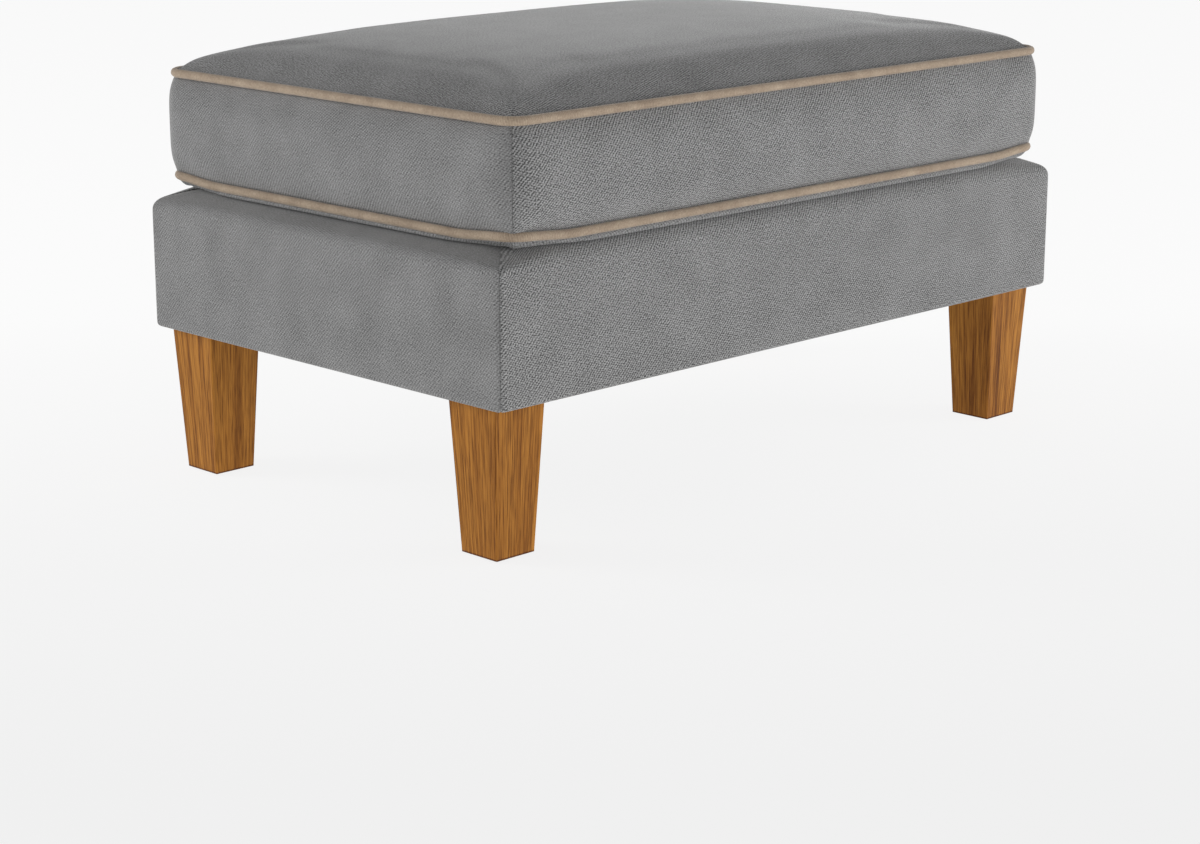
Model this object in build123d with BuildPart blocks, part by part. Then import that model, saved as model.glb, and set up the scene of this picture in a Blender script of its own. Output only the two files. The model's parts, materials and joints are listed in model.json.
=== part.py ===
from build123d import *
import os
from math import cos, radians, sin, sqrt, tan

os.makedirs("parts", exist_ok=True)

# A footstool with an upholstered base, four tapered legs and a loose box cushion.
# Sizes are in millimetres. The long side runs along X, the front faces -Y, and the
# origin is on the floor under the middle.

# Whole base
base_length = 840.0
base_depth = 532.0
side_height = 136.0
leg_height = 151.5
base_corner_radius = 10.0
soft_edge_radius = 12.0
underside_radius = 4.0
deck_rise = 12.0
deck_shoulder = 60.0
deck_corner_radius = 40.0

# Cloth, padding and the gaps between layers
cloth = 1.5
wadding = 6.0
layer_gap = 0.2
body_gap = 0.3
cut_overrun = 20.0
cover_lip = 75.0
cover_return = 28.0
pad_edge_thickness = 14.0

# Wooden frame
rail_thickness = 22.0
block_width = 55.0
block_bevel = 25.0
block_drop = 12.0
brace_thickness = 22.0
brace_height = 60.0
brace_lift = 18.0

# Screws through the corner blocks
screw_radius = 2.0
screw_head_radius = 4.0
screw_sink_angle = 82
screw_grip = 15.0
screw_offset = 15.0
screw_first_height = 50.0
screw_spacing = 30.0
screw_stagger = 12.0

# Legs, their bolts and glides
leg_top_width = 64.0
leg_foot_width = 49.0
leg_inset_x = 10.0
leg_inset_y = 18.5
leg_edge_radius = 1.0
bolt_radius = 4.0
bolt_in_leg = 40.0
bolt_in_block = 30.0
bolt_end_chamfer = 0.8
bolt_clearance = 0.1
insert_radius = 6.0
insert_length = 16.0
insert_flange_radius = 8.5
insert_flange_thickness = 1.5
glide_radius = 11.0
glide_thickness = 2.0
glide_edge_radius = 0.6
nail_radius = 1.25
nail_length = 14.0

# Webbing, hessian, dust cover and staples
strap_width = 60.0
strap_thickness = 1.8
strap_ease = 6.0
strap_end_inset = 4.0
long_strap_count = 3
cross_strap_count = 5
hessian_thickness = 1.0
hessian_inset = 3.0
dust_cover_thickness = 0.8
dust_cover_inset = 12.0
staple_crown = 11.0
staple_wire = 0.6
staple_width = 1.2
staple_leg = 8.0
strap_staple_offset = 15.0
cover_staple_inset = 20.0
long_side_staple_pitch = 80.0
end_staple_pitch = 75.0
long_side_staples = 9
end_staples = 5

# Cushion
cushion_end_margin = 19.0
cushion_side_margin = 2.5
cushion_length = base_length - 2 * cushion_end_margin
cushion_depth = base_depth - 2 * cushion_side_margin
cushion_corner_radius = 18.0
band_height = 106.0
piping_radius = 4.5
piping_bed = 0.5
crown_rise = 46.0
underside_drop = 10.4
underside_reach = 31.0
foam_margin = 16.0
foam_lift = 8.0
foam_height = 118.0
foam_corner_radius = 30.0
foam_edge_radius = 25.0

# Zip in the back band
zip_length = 560.0
zip_slot_height = 14.0
tape_width = 11.0
tape_thickness = 0.6
tape_end = 6.0
coil_width = 2.6
coil_thickness = 1.4
coil_gap = 1.2
stop_length = 3.0
slider_length = 9.0
slider_height = 8.4
slider_plate = 0.9
slider_web = 0.8
slider_web_length = 5.0
slider_clearance = 0.2
lug_width = 1.0
lug_length = 1.8
lug_height = 1.6
lug_spacing = 3.4
pin_radius = 0.35
pull_clearance = 0.1
pull_length = 22.0
pull_thickness = 0.8
pull_width = 5.0
pull_hole_radius = 1.3

# Shares and angles that shape the soft forms
edge_turns = (0, 35, 75)
shoulder_shares = (0.3, 0.65, 1.0)
crown_height_shares = (0.2, 0.4, 0.6, 0.8, 0.9, 0.97)
crown_fullness = 2.5
crown_squareness = 3
band_shares = ((0.0, 0.0), (0.5, 1.0), (1.0, 0.0))
underside_turns = (90, 60, 30, 0)

# Heights, from the floor up
underside = leg_height + dust_cover_thickness
edge_top = underside + side_height
deck_top = edge_top + deck_rise
rail_bottom = underside + cloth + layer_gap
pad_bottom = edge_top - cloth - layer_gap - pad_edge_thickness
hessian_bottom = pad_bottom - layer_gap - hessian_thickness
strap_rise = strap_thickness + layer_gap
rail_top = hessian_bottom - layer_gap - strap_thickness - strap_rise
rail_height = rail_top - rail_bottom
bottom_seam = deck_top + body_gap + underside_drop
top_seam = bottom_seam + band_height
band_middle = bottom_seam + band_height / 2

# Plan sizes, as half lengths and half depths
half_length = base_length / 2
half_depth = base_depth / 2
rail_inset = cloth + layer_gap + wadding + layer_gap
rail_half_length = half_length - rail_inset
rail_half_depth = half_depth - rail_inset
inner_half_length = rail_half_length - rail_thickness
inner_half_depth = rail_half_depth - rail_thickness
leg_x = half_length - leg_inset_x - leg_top_width / 2
leg_y = half_depth - leg_inset_y - leg_top_width / 2
seam_draw = 2 * piping_radius + piping_bed
seam_half_length = cushion_length / 2 - seam_draw
seam_half_depth = cushion_depth / 2 - seam_draw
seam_radius = cushion_corner_radius - seam_draw

CORNERS = {"front_left": (-1, -1), "front_right": (1, -1), "back_left": (-1, 1), "back_right": (1, 1)}
SIDES = ("front", "back", "left", "right")


def rounded_loft(sections, ruled=False):
    """Loft through rounded rectangles, each given as half length, half depth, radius and height."""
    with BuildPart() as form:
        for section_length, section_depth, radius, height in sections:
            with BuildSketch(Plane.XY.offset(height)):
                RectangleRounded(2 * section_length, 2 * section_depth, radius)
        loft(ruled=ruled)
    return form.part


def side_wedge(side, reach_x, reach_y, reach, low, high):
    """Prism that holds one side of a rectangle, cut at 45 degrees through its corners."""
    inner_x = reach_x - reach
    inner_y = reach_y - reach
    outlines = {
        "front": [(-reach_x, -reach_y), (reach_x, -reach_y), (inner_x, -inner_y), (-inner_x, -inner_y)],
        "back": [(reach_x, reach_y), (-reach_x, reach_y), (-inner_x, inner_y), (inner_x, inner_y)],
        "left": [(-reach_x, reach_y), (-reach_x, -reach_y), (-inner_x, -inner_y), (-inner_x, inner_y)],
        "right": [(reach_x, -reach_y), (reach_x, reach_y), (inner_x, inner_y), (inner_x, -inner_y)],
    }
    with BuildPart() as wedge:
        with BuildSketch(Plane.XY.offset(low)):
            with BuildLine():
                Polyline(*outlines[side], close=True)
            make_face()
        extrude(amount=high - low)
    return wedge.part


# Base form: straight sides, a soft top edge and a gently domed deck

def deck_sections(inset):
    """Sections of the soft edge and the domed deck, from the straight sides up to the flat middle."""
    sections = []
    for turn in edge_turns:
        draw = soft_edge_radius * (1 - cos(radians(turn)))
        height = edge_top - soft_edge_radius * (1 - sin(radians(turn)))
        sections.append((draw, height, base_corner_radius))
    edge_draw, edge_height, _ = sections[-1]
    for share in shoulder_shares:
        draw = edge_draw + (deck_shoulder - edge_draw) * share
        height = edge_height + (deck_top - edge_height) * sin(radians(90 * share))
        radius = base_corner_radius + (deck_corner_radius - base_corner_radius) * share
        sections.append((draw, height, radius))
    return [
        (half_length - inset - draw, half_depth - inset - draw, radius - inset, height - inset)
        for draw, height, radius in sections
    ]


def base_form(inset):
    """Outer form of the upholstered base, drawn in by an inset on every side."""
    low = underside + inset
    sections = deck_sections(inset)
    side_length, side_depth, side_radius, side_top = sections[0]
    with BuildPart() as form:
        with BuildSketch(Plane.XY.offset(low)):
            RectangleRounded(2 * side_length, 2 * side_depth, side_radius)
        extrude(amount=side_top - low)
        fillet(form.faces().sort_by(Axis.Z)[0].edges(), underside_radius - inset)
        add(rounded_loft(sections))
    return form.part


# Frame rails: the long ones run the full length, the end ones fit between them

for name, side in (("front_rail", -1), ("back_rail", 1)):
    with BuildPart() as long_rail:
        with BuildSketch(Plane.XY.offset(rail_bottom)):
            with Locations((0, side * (rail_half_depth - rail_thickness / 2))):
                Rectangle(2 * rail_half_length, rail_thickness)
        extrude(amount=rail_height)
        for end in (-1, 1):
            for step in (0, 1):
                hole_height = rail_bottom + screw_first_height + screw_stagger + step * screw_spacing
                hole_x = end * (inner_half_length - screw_offset)
                with Locations(Location((hole_x, side * inner_half_depth, hole_height), (side * 90, 0, 0))):
                    Hole(screw_radius + bolt_clearance, depth=screw_grip + bolt_clearance)
    long_rail.part.label = name
    export_step(long_rail.part, f"parts/{name}.step")

for name, side in (("left_rail", -1), ("right_rail", 1)):
    with BuildPart() as end_rail:
        with BuildSketch(Plane.XY.offset(rail_bottom)):
            with Locations((side * (rail_half_length - rail_thickness / 2), 0)):
                Rectangle(rail_thickness, 2 * inner_half_depth)
        extrude(amount=rail_height)
        for end in (-1, 1):
            for step in (0, 1):
                hole_height = rail_bottom + screw_first_height + step * screw_spacing
                hole_y = end * (inner_half_depth - screw_offset)
                with Locations(Location((side * inner_half_length, hole_y, hole_height), (0, -side * 90, 0))):
                    Hole(screw_radius + bolt_clearance, depth=screw_grip + bolt_clearance)
    end_rail.part.label = name
    export_step(end_rail.part, f"parts/{name}.step")

with BuildPart() as centre_brace:
    with BuildSketch(Plane.XY.offset(rail_bottom + brace_lift)):
        Rectangle(brace_thickness, 2 * inner_half_depth)
    extrude(amount=brace_height)
centre_brace.part.label = "centre_brace"
export_step(centre_brace.part, "parts/centre_brace.step")

# Corner blocks, with countersunk screw holes and a stepped hole for the leg's insert

block_height = rail_height - block_drop
block_face_x = inner_half_length - block_width
block_face_y = inner_half_depth - block_width
block_x = inner_half_length - block_width / 2
block_y = inner_half_depth - block_width / 2
bolt_top = leg_height + bolt_in_block
sink_radius = screw_head_radius + bolt_clearance
shank_hole = screw_radius + bolt_clearance

for place, (side_x, side_y) in CORNERS.items():
    with BuildPart() as corner_block:
        with BuildSketch(Plane.XY.offset(rail_bottom)):
            with Locations((side_x * block_x, side_y * block_y)):
                Rectangle(block_width, block_width)
        extrude(amount=block_height)
        upright_edges = corner_block.edges().filter_by(Axis.Z)
        chamfer(upright_edges.sort_by_distance((0, 0, rail_bottom))[0], block_bevel)
        with Locations(Location((side_x * leg_x, side_y * leg_y, rail_bottom), (180, 0, 0))):
            CounterBoreHole(
                insert_radius + bolt_clearance,
                insert_flange_radius + bolt_clearance,
                insert_flange_thickness,
                depth=insert_length,
            )
            Hole(bolt_radius + bolt_clearance, depth=bolt_top + bolt_clearance - rail_bottom)
        for step in (0, 1):
            end_height = rail_bottom + screw_first_height + step * screw_spacing
            end_y = side_y * (inner_half_depth - screw_offset)
            with Locations(Location((side_x * block_face_x, end_y, end_height), (0, -side_x * 90, 0))):
                CounterSinkHole(shank_hole, sink_radius, block_width, screw_sink_angle)
            long_x = side_x * (inner_half_length - screw_offset)
            with Locations(Location((long_x, side_y * block_face_y, end_height + screw_stagger), (side_y * 90, 0, 0))):
                CounterSinkHole(shank_hole, sink_radius, block_width, screw_sink_angle)
    corner_block.part.label = f"corner_block_{place}"
    export_step(corner_block.part, f"parts/corner_block_{place}.step")

screw_head_depth = (screw_head_radius - screw_radius) / tan(radians(screw_sink_angle / 2))
screw_length = block_width + screw_grip

with BuildPart() as screw:
    with BuildSketch(Plane.XZ):
        with BuildLine():
            Polyline(
                (0, 0),
                (screw_head_radius, 0),
                (screw_radius, -screw_head_depth),
                (screw_radius, screw_radius - screw_length),
                (0, -screw_length),
                close=True,
            )
        make_face()
    revolve(axis=Axis.Z)

screw_places = []
for side_x, side_y in CORNERS.values():
    for step in (0, 1):
        height = rail_bottom + screw_first_height + step * screw_spacing
        end_y = side_y * (inner_half_depth - screw_offset)
        screw_places.append(Location((side_x * block_face_x, end_y, height), (0, -side_x * 90, 0)))
        long_x = side_x * (inner_half_length - screw_offset)
        long_place = (long_x, side_y * block_face_y, height + screw_stagger)
        screw_places.append(Location(long_place, (side_y * 90, 0, 0)))

with BuildPart() as frame_screws:
    with Locations(*screw_places):
        add(screw.part)
frame_screws.part.label = "frame_screws"
export_step(frame_screws.part, "parts/frame_screws.step")

# Legs: square, tapered alike on all four faces, each on a hanger bolt

leg_places = [(side_x * leg_x, side_y * leg_y) for side_x, side_y in CORNERS.values()]

for place, (side_x, side_y) in CORNERS.items():
    with BuildPart() as leg:
        with BuildSketch(Plane.XY.offset(glide_thickness)):
            with Locations((side_x * leg_x, side_y * leg_y)):
                Rectangle(leg_foot_width, leg_foot_width)
        with BuildSketch(Plane.XY.offset(leg_height)):
            with Locations((side_x * leg_x, side_y * leg_y)):
                Rectangle(leg_top_width, leg_top_width)
        loft()
        foot = leg.faces().sort_by(Axis.Z)[0]
        top = leg.faces().sort_by(Axis.Z)[-1]
        fillet(leg.edges() - foot.edges() - top.edges(), leg_edge_radius)
        with Locations((side_x * leg_x, side_y * leg_y, leg_height)):
            Hole(bolt_radius + bolt_clearance, depth=bolt_in_leg + bolt_clearance)
        with Locations(Location((side_x * leg_x, side_y * leg_y, glide_thickness), (180, 0, 0))):
            Hole(nail_radius + bolt_clearance, depth=nail_length + bolt_clearance)
    leg.part.label = f"leg_{place}"
    export_step(leg.part, f"parts/leg_{place}.step")

with BuildPart() as hanger_bolts:
    with BuildSketch(Plane.XY.offset(leg_height - bolt_in_leg)):
        with Locations(*leg_places):
            Circle(bolt_radius)
    extrude(amount=bolt_in_leg + bolt_in_block)
    chamfer(hanger_bolts.edges().filter_by(GeomType.CIRCLE), bolt_end_chamfer)
hanger_bolts.part.label = "hanger_bolts"
export_step(hanger_bolts.part, "parts/hanger_bolts.step")

with BuildPart() as threaded_inserts:
    for radius, length in ((insert_flange_radius, insert_flange_thickness), (insert_radius, insert_length)):
        with BuildSketch(Plane.XY.offset(rail_bottom)):
            with Locations(*leg_places):
                Circle(radius)
                Circle(bolt_radius + bolt_clearance, mode=Mode.SUBTRACT)
        extrude(amount=length)
threaded_inserts.part.label = "threaded_inserts"
export_step(threaded_inserts.part, "parts/threaded_inserts.step")

with BuildPart() as leg_glides:
    with BuildSketch():
        with Locations(*leg_places):
            Circle(glide_radius)
    extrude(amount=glide_thickness)
    fillet(leg_glides.faces().group_by(Axis.Z)[0].edges(), glide_edge_radius)
    with BuildSketch(Plane.XY.offset(glide_thickness)):
        with Locations(*leg_places):
            Circle(nail_radius)
    extrude(amount=nail_length)
leg_glides.part.label = "leg_glides"
export_step(leg_glides.part, "parts/leg_glides.step")

# Webbing: straps woven over and under each other, pulled tight across the rails


def spread_evenly(count, half_span):
    """Middles of a number of straps that share an opening evenly."""
    pitch = 2 * half_span / count
    return [(step - (count - 1) / 2) * pitch for step in range(count)]


long_strap_places = spread_evenly(long_strap_count, inner_half_depth)
cross_strap_places = spread_evenly(cross_strap_count, inner_half_length)


def strap_outline(strap_end, rail_edge, crossings):
    """Side outline of a strap, flat on the rails and over or under each strap that it meets."""
    half_width = strap_width / 2 + strap_ease
    lower = [(-strap_end, rail_top), (-rail_edge, rail_top)]
    for position, level in crossings:
        lower.append((position - half_width, rail_top + level * strap_rise))
        lower.append((position + half_width, rail_top + level * strap_rise))
    lower += [(rail_edge, rail_top), (strap_end, rail_top)]
    upper = [(position, height + strap_thickness) for position, height in reversed(lower)]
    return lower + upper


for row, strap_y in enumerate(long_strap_places):
    crossings = [(strap_x, (row + column) % 2) for column, strap_x in enumerate(cross_strap_places)]
    with BuildPart() as long_strap:
        with BuildSketch(Plane.XZ.offset(-strap_y)):
            with BuildLine():
                strap_end = rail_half_length - strap_end_inset
                Polyline(*strap_outline(strap_end, inner_half_length, crossings), close=True)
            make_face()
        extrude(amount=strap_width / 2, both=True)
    long_strap.part.label = f"webbing_long_{row + 1}"
    export_step(long_strap.part, f"parts/webbing_long_{row + 1}.step")

for column, strap_x in enumerate(cross_strap_places):
    crossings = [(strap_y, (row + column + 1) % 2) for row, strap_y in enumerate(long_strap_places)]
    with BuildPart() as cross_strap:
        with BuildSketch(Plane.YZ.offset(strap_x)):
            with BuildLine():
                strap_end = rail_half_depth - strap_end_inset
                Polyline(*strap_outline(strap_end, inner_half_depth, crossings), close=True)
            make_face()
        extrude(amount=strap_width / 2, both=True)
    cross_strap.part.label = f"webbing_cross_{column + 1}"
    export_step(cross_strap.part, f"parts/webbing_cross_{column + 1}.step")

# Staples: a flat crown and two legs, driven straight in

with BuildPart() as staple:
    with BuildSketch(Plane.XZ):
        with Locations((0, staple_wire)):
            Rectangle(staple_crown, staple_wire + staple_leg, align=(Align.CENTER, Align.MAX))
        Rectangle(staple_crown - 2 * staple_wire, staple_leg, align=(Align.CENTER, Align.MAX), mode=Mode.SUBTRACT)
    extrude(amount=staple_width / 2, both=True)

strap_staple_places = []
for side in (-1, 1):
    for offset in (-strap_staple_offset, strap_staple_offset):
        for strap_y in long_strap_places:
            staple_x = side * (rail_half_length - rail_thickness / 2)
            place = (staple_x, strap_y + offset, rail_top + strap_thickness)
            strap_staple_places.append(Location(place, (0, 0, 90)))
        for strap_x in cross_strap_places:
            staple_y = side * (rail_half_depth - rail_thickness / 2)
            place = (strap_x + offset, staple_y, rail_top + strap_thickness)
            strap_staple_places.append(Location(place, (0, 0, 0)))

with BuildPart() as webbing_staples:
    with Locations(*strap_staple_places):
        add(staple.part)
webbing_staples.part.label = "webbing_staples"
export_step(webbing_staples.part, "parts/webbing_staples.step")

# Hessian over the webbing, and the domed foam pad on top of it

with BuildPart() as hessian:
    with BuildSketch(Plane.XY.offset(hessian_bottom)):
        Rectangle(2 * (rail_half_length - hessian_inset), 2 * (rail_half_depth - hessian_inset))
    extrude(amount=hessian_thickness)
hessian.part.label = "hessian"
export_step(hessian.part, "parts/hessian.step")

with BuildPart() as deck_pad:
    add(base_form(cloth + layer_gap))
    split(bisect_by=Plane.XY.offset(pad_bottom), keep=Keep.TOP)
deck_pad.part.label = "deck_pad"
export_step(deck_pad.part, "parts/deck_pad.step")

# Wadding on the outside of the rails, one strip to a side

wadding_draw = cloth + layer_gap
wadding_bottom = underside + underside_radius
wadding_top = pad_bottom - layer_gap

for side in SIDES:
    with BuildPart() as wadding_strip:
        with BuildSketch(Plane.XY.offset(wadding_bottom)):
            RectangleRounded(
                2 * (half_length - wadding_draw),
                2 * (half_depth - wadding_draw),
                base_corner_radius - wadding_draw,
            )
            Rectangle(
                2 * (rail_half_length + layer_gap),
                2 * (rail_half_depth + layer_gap),
                mode=Mode.SUBTRACT,
            )
        extrude(amount=wadding_top - wadding_bottom)
        wedge = side_wedge(
            side,
            half_length + cut_overrun,
            half_depth + cut_overrun,
            cut_overrun + rail_inset + cut_overrun,
            underside,
            edge_top,
        )
        add(wedge, mode=Mode.INTERSECT)
    wadding_strip.part.label = f"wadding_{side}"
    export_step(wadding_strip.part, f"parts/wadding_{side}.step")

# Base cover: each side panel turns in under the rail and runs over the edge as a lip

with BuildPart() as cover_cloth:
    add(base_form(0))
    add(base_form(cloth), mode=Mode.SUBTRACT)
    with BuildSketch(Plane.XY.offset(underside - cut_overrun)):
        Rectangle(base_length - 2 * cover_return, base_depth - 2 * cover_return)
    extrude(amount=cut_overrun + side_height / 2, mode=Mode.SUBTRACT)

for side in SIDES:
    with BuildPart() as cover_panel:
        add(cover_cloth.part)
        wedge = side_wedge(
            side,
            half_length + cut_overrun,
            half_depth + cut_overrun,
            cut_overrun + cover_lip,
            underside - cut_overrun,
            deck_top + cut_overrun,
        )
        add(wedge, mode=Mode.INTERSECT)
    cover_panel.part.label = f"cover_{side}"
    export_step(cover_panel.part, f"parts/cover_{side}.step")

with BuildPart() as platform_cloth:
    add(cover_cloth.part)
    with BuildSketch(Plane.XY.offset(edge_top - side_height / 2)):
        Rectangle(base_length - 2 * cover_lip, base_depth - 2 * cover_lip)
    extrude(amount=side_height, mode=Mode.INTERSECT)
platform_cloth.part.label = "platform_cloth"
export_step(platform_cloth.part, "parts/platform_cloth.step")

# Dust cover under the base, with a hole for each leg's bolt, and its staples

with BuildPart() as dust_cover:
    with BuildSketch(Plane.XY.offset(leg_height)):
        Rectangle(base_length - 2 * dust_cover_inset, base_depth - 2 * dust_cover_inset)
        with Locations(*leg_places):
            Circle(bolt_radius + bolt_clearance, mode=Mode.SUBTRACT)
    extrude(amount=dust_cover_thickness)
dust_cover.part.label = "dust_cover"
export_step(dust_cover.part, "parts/dust_cover.step")

cover_staple_places = []
for side in (-1, 1):
    for step in range(long_side_staples):
        staple_x = (step - (long_side_staples - 1) / 2) * long_side_staple_pitch
        place = (staple_x, side * (half_depth - cover_staple_inset), leg_height)
        cover_staple_places.append(Location(place, (180, 0, 0)))
    for step in range(end_staples):
        staple_y = (step - (end_staples - 1) / 2) * end_staple_pitch
        place = (side * (half_length - cover_staple_inset), staple_y, leg_height)
        cover_staple_places.append(Location(place, (180, 0, 90)))

with BuildPart() as cover_staples:
    with Locations(*cover_staple_places):
        add(staple.part)
cover_staples.part.label = "cover_staples"
export_step(cover_staples.part, "parts/cover_staples.step")


# Cushion form: a crowned top, a full boxing band and an underside that rests flat on the deck

def crown_sections(inset):
    """Sections of the top panel, rising steeply from the seam and flattening to the middle."""
    sections = [(seam_half_length, seam_half_depth, seam_radius, top_seam)]
    for share in crown_height_shares:
        spread = (1 - share**crown_fullness) ** (1 / crown_squareness)
        diagonal = (1 - share ** (crown_fullness / 2)) ** (1 / crown_squareness)
        radius = (spread - diagonal) / (1 - sqrt(0.5)) * (seam_half_length + seam_half_depth) / 2
        height = top_seam + crown_rise * share
        sections.append((seam_half_length * spread, seam_half_depth * spread, radius, height))
    return [
        (length - inset, depth - inset, radius - inset, height - inset)
        for length, depth, radius, height in sections
    ]


def band_sections(inset):
    """Sections of the boxing band, drawn in at both seams and full between them."""
    return [
        (
            seam_half_length + seam_draw * fullness - inset,
            seam_half_depth + seam_draw * fullness - inset,
            seam_radius + seam_draw * fullness - inset,
            bottom_seam + band_height * share,
        )
        for share, fullness in band_shares
    ]


def underside_sections(inset):
    """Sections of the bottom panel, from the part that rests on the deck up to the seam."""
    return [
        (
            seam_half_length - underside_reach * (1 - cos(radians(turn))) - inset,
            seam_half_depth - underside_reach * (1 - cos(radians(turn))) - inset,
            seam_radius + underside_reach * (1 - cos(radians(turn))) - inset,
            bottom_seam - underside_drop * sin(radians(turn)) + inset,
        )
        for turn in underside_turns
    ]


def foam_form(grow):
    """The cut foam block, made larger all round where something has to clear it."""
    foam_bottom = bottom_seam - underside_drop + cloth + layer_gap + foam_lift
    with BuildPart() as form:
        with BuildSketch(Plane.XY.offset(foam_bottom - grow)):
            RectangleRounded(
                2 * (seam_half_length - foam_margin + grow),
                2 * (seam_half_depth - foam_margin + grow),
                foam_corner_radius + grow,
            )
        extrude(amount=foam_height + 2 * grow)
        top_edges = form.faces().sort_by(Axis.Z)[-1].edges()
        fillet(top_edges, foam_edge_radius + grow)
    return form.part


with BuildPart() as top_panel:
    add(rounded_loft(crown_sections(0)))
    add(rounded_loft(crown_sections(cloth)), mode=Mode.SUBTRACT)
top_panel.part.label = "top_panel"
export_step(top_panel.part, "parts/top_panel.step")

with BuildPart() as bottom_panel:
    add(rounded_loft(underside_sections(0)))
    add(rounded_loft(underside_sections(cloth)), mode=Mode.SUBTRACT)
bottom_panel.part.label = "bottom_panel"
export_step(bottom_panel.part, "parts/bottom_panel.step")

with BuildPart() as band_cloth:
    add(rounded_loft(band_sections(0)))
    add(rounded_loft(band_sections(cloth)), mode=Mode.SUBTRACT)

for side in SIDES:
    with BuildPart() as band:
        add(band_cloth.part)
        wedge = side_wedge(
            side,
            cushion_length / 2 + cut_overrun,
            cushion_depth / 2 + cut_overrun,
            cut_overrun + cushion_corner_radius,
            bottom_seam,
            top_seam,
        )
        add(wedge, mode=Mode.INTERSECT)
        if side == "back":
            with BuildSketch(Plane.XY.offset(band_middle - zip_slot_height / 2)):
                with Locations((0, cushion_depth / 2)):
                    Rectangle(zip_length, 2 * cut_overrun)
            extrude(amount=zip_slot_height, mode=Mode.SUBTRACT)
    band.part.label = f"band_{side}"
    export_step(band.part, f"parts/band_{side}.step")

# Piping: a round cord sewn outside each seam

for name, height in (("piping_top", top_seam), ("piping_bottom", bottom_seam)):
    cord_x = cushion_length / 2 - piping_radius
    cord_y = cushion_depth / 2 - piping_radius
    with BuildPart() as piping:
        with BuildLine(Plane.XY.offset(height)) as cord_line:
            FilletPolyline(
                (-cord_x, -cord_y),
                (cord_x, -cord_y),
                (cord_x, cord_y),
                (-cord_x, cord_y),
                radius=cushion_corner_radius - piping_radius,
                close=True,
            )
        with BuildSketch(Plane(origin=cord_line.line @ 0, z_dir=cord_line.line % 0)):
            Circle(piping_radius)
        sweep()
    piping.part.label = name
    export_step(piping.part, f"parts/{name}.step")

# Filling: a cut foam block in a thick fibre wrap, with room behind the zip

tape_reach = coil_gap / 2 + tape_width
tape_sag = seam_draw * (2 * tape_reach / band_height) ** 2
zip_face = cushion_depth / 2 - cloth - tape_sag - layer_gap
tape_back = zip_face - tape_thickness
slider_back = tape_back - slider_clearance - slider_plate

with BuildPart() as foam_core:
    add(foam_form(0))
foam_core.part.label = "foam_core"
export_step(foam_core.part, "parts/foam_core.step")

wrap_draw = cloth + layer_gap

with BuildPart() as fibre_wrap:
    add(rounded_loft(underside_sections(wrap_draw)))
    add(rounded_loft(band_sections(wrap_draw)))
    add(rounded_loft(crown_sections(wrap_draw)))
    add(foam_form(layer_gap), mode=Mode.SUBTRACT)
    with BuildSketch(Plane.XY.offset(band_middle - tape_reach - layer_gap)):
        with Locations((0, slider_back - layer_gap)):
            Rectangle(
                zip_length + 2 * (tape_end + layer_gap),
                cut_overrun,
                align=(Align.CENTER, Align.MIN),
            )
    extrude(amount=2 * (tape_reach + layer_gap), mode=Mode.SUBTRACT)
fibre_wrap.part.label = "fibre_wrap"
export_step(fibre_wrap.part, "parts/fibre_wrap.step")

# Zip: two tapes behind the slot, each with its coil, and the end stops

coil_reach = zip_length / 2 - stop_length

for name, side in (("upper", 1), ("lower", -1)):
    with BuildPart() as zip_tape:
        with BuildSketch(Plane.XZ.offset(-tape_back)):
            with Locations((0, band_middle + side * (coil_gap + tape_width) / 2)):
                Rectangle(zip_length + 2 * tape_end, tape_width)
        extrude(amount=-tape_thickness)
    zip_tape.part.label = f"zip_tape_{name}"
    export_step(zip_tape.part, f"parts/zip_tape_{name}.step")

    with BuildPart() as zip_coil:
        with BuildSketch(Plane.XZ.offset(-zip_face)):
            with Locations((0, band_middle + side * (coil_gap + coil_width) / 2)):
                Rectangle(2 * coil_reach, coil_width)
        extrude(amount=-coil_thickness)
        fillet(zip_coil.faces().sort_by(Axis.Y)[-1].edges().filter_by(Axis.X), coil_thickness / 3)
    zip_coil.part.label = f"zip_coil_{name}"
    export_step(zip_coil.part, f"parts/zip_coil_{name}.step")

with BuildPart() as zip_stops:
    with BuildSketch(Plane.XZ.offset(-zip_face)):
        with Locations((coil_reach + stop_length / 2, band_middle), (-coil_reach - stop_length / 2, band_middle)):
            RectangleRounded(stop_length, coil_gap + 2 * coil_width, stop_length / 4)
    extrude(amount=-coil_thickness)
zip_stops.part.label = "zip_stops"
export_step(zip_stops.part, "parts/zip_stops.step")

# Slider: two plates joined by a web between the coils, with lugs and a pin for the pull

slider_x = coil_reach - slider_clearance - slider_length / 2
slider_front = zip_face + coil_thickness + slider_clearance
slider_face = slider_front + slider_plate
pin_y = slider_face + lug_height / 2

with BuildPart() as zip_slider:
    for plate_back in (slider_back, slider_front):
        with BuildSketch(Plane.XZ.offset(-plate_back)):
            with Locations((slider_x, band_middle)):
                RectangleRounded(slider_length, slider_height, slider_length / 4)
        extrude(amount=-slider_plate)
    with BuildSketch(Plane.XZ.offset(-slider_back)):
        with Locations((slider_x, band_middle)):
            Rectangle(slider_web_length, slider_web)
    extrude(amount=slider_back - slider_face)
    with BuildSketch(Plane.XZ.offset(-slider_face)):
        for side in (-1, 1):
            with Locations((slider_x, band_middle + side * (lug_spacing + lug_width) / 2)):
                Rectangle(lug_length, lug_width)
    extrude(amount=-lug_height)
    with BuildSketch(Plane.XY.offset(band_middle - lug_spacing / 2)):
        with Locations((slider_x, pin_y)):
            Circle(pin_radius)
    extrude(amount=lug_spacing)
zip_slider.part.label = "zip_slider"
export_step(zip_slider.part, "parts/zip_slider.step")

# Pull tab: a barrel round the slider's pin and a flat tab with a hole near its end

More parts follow.
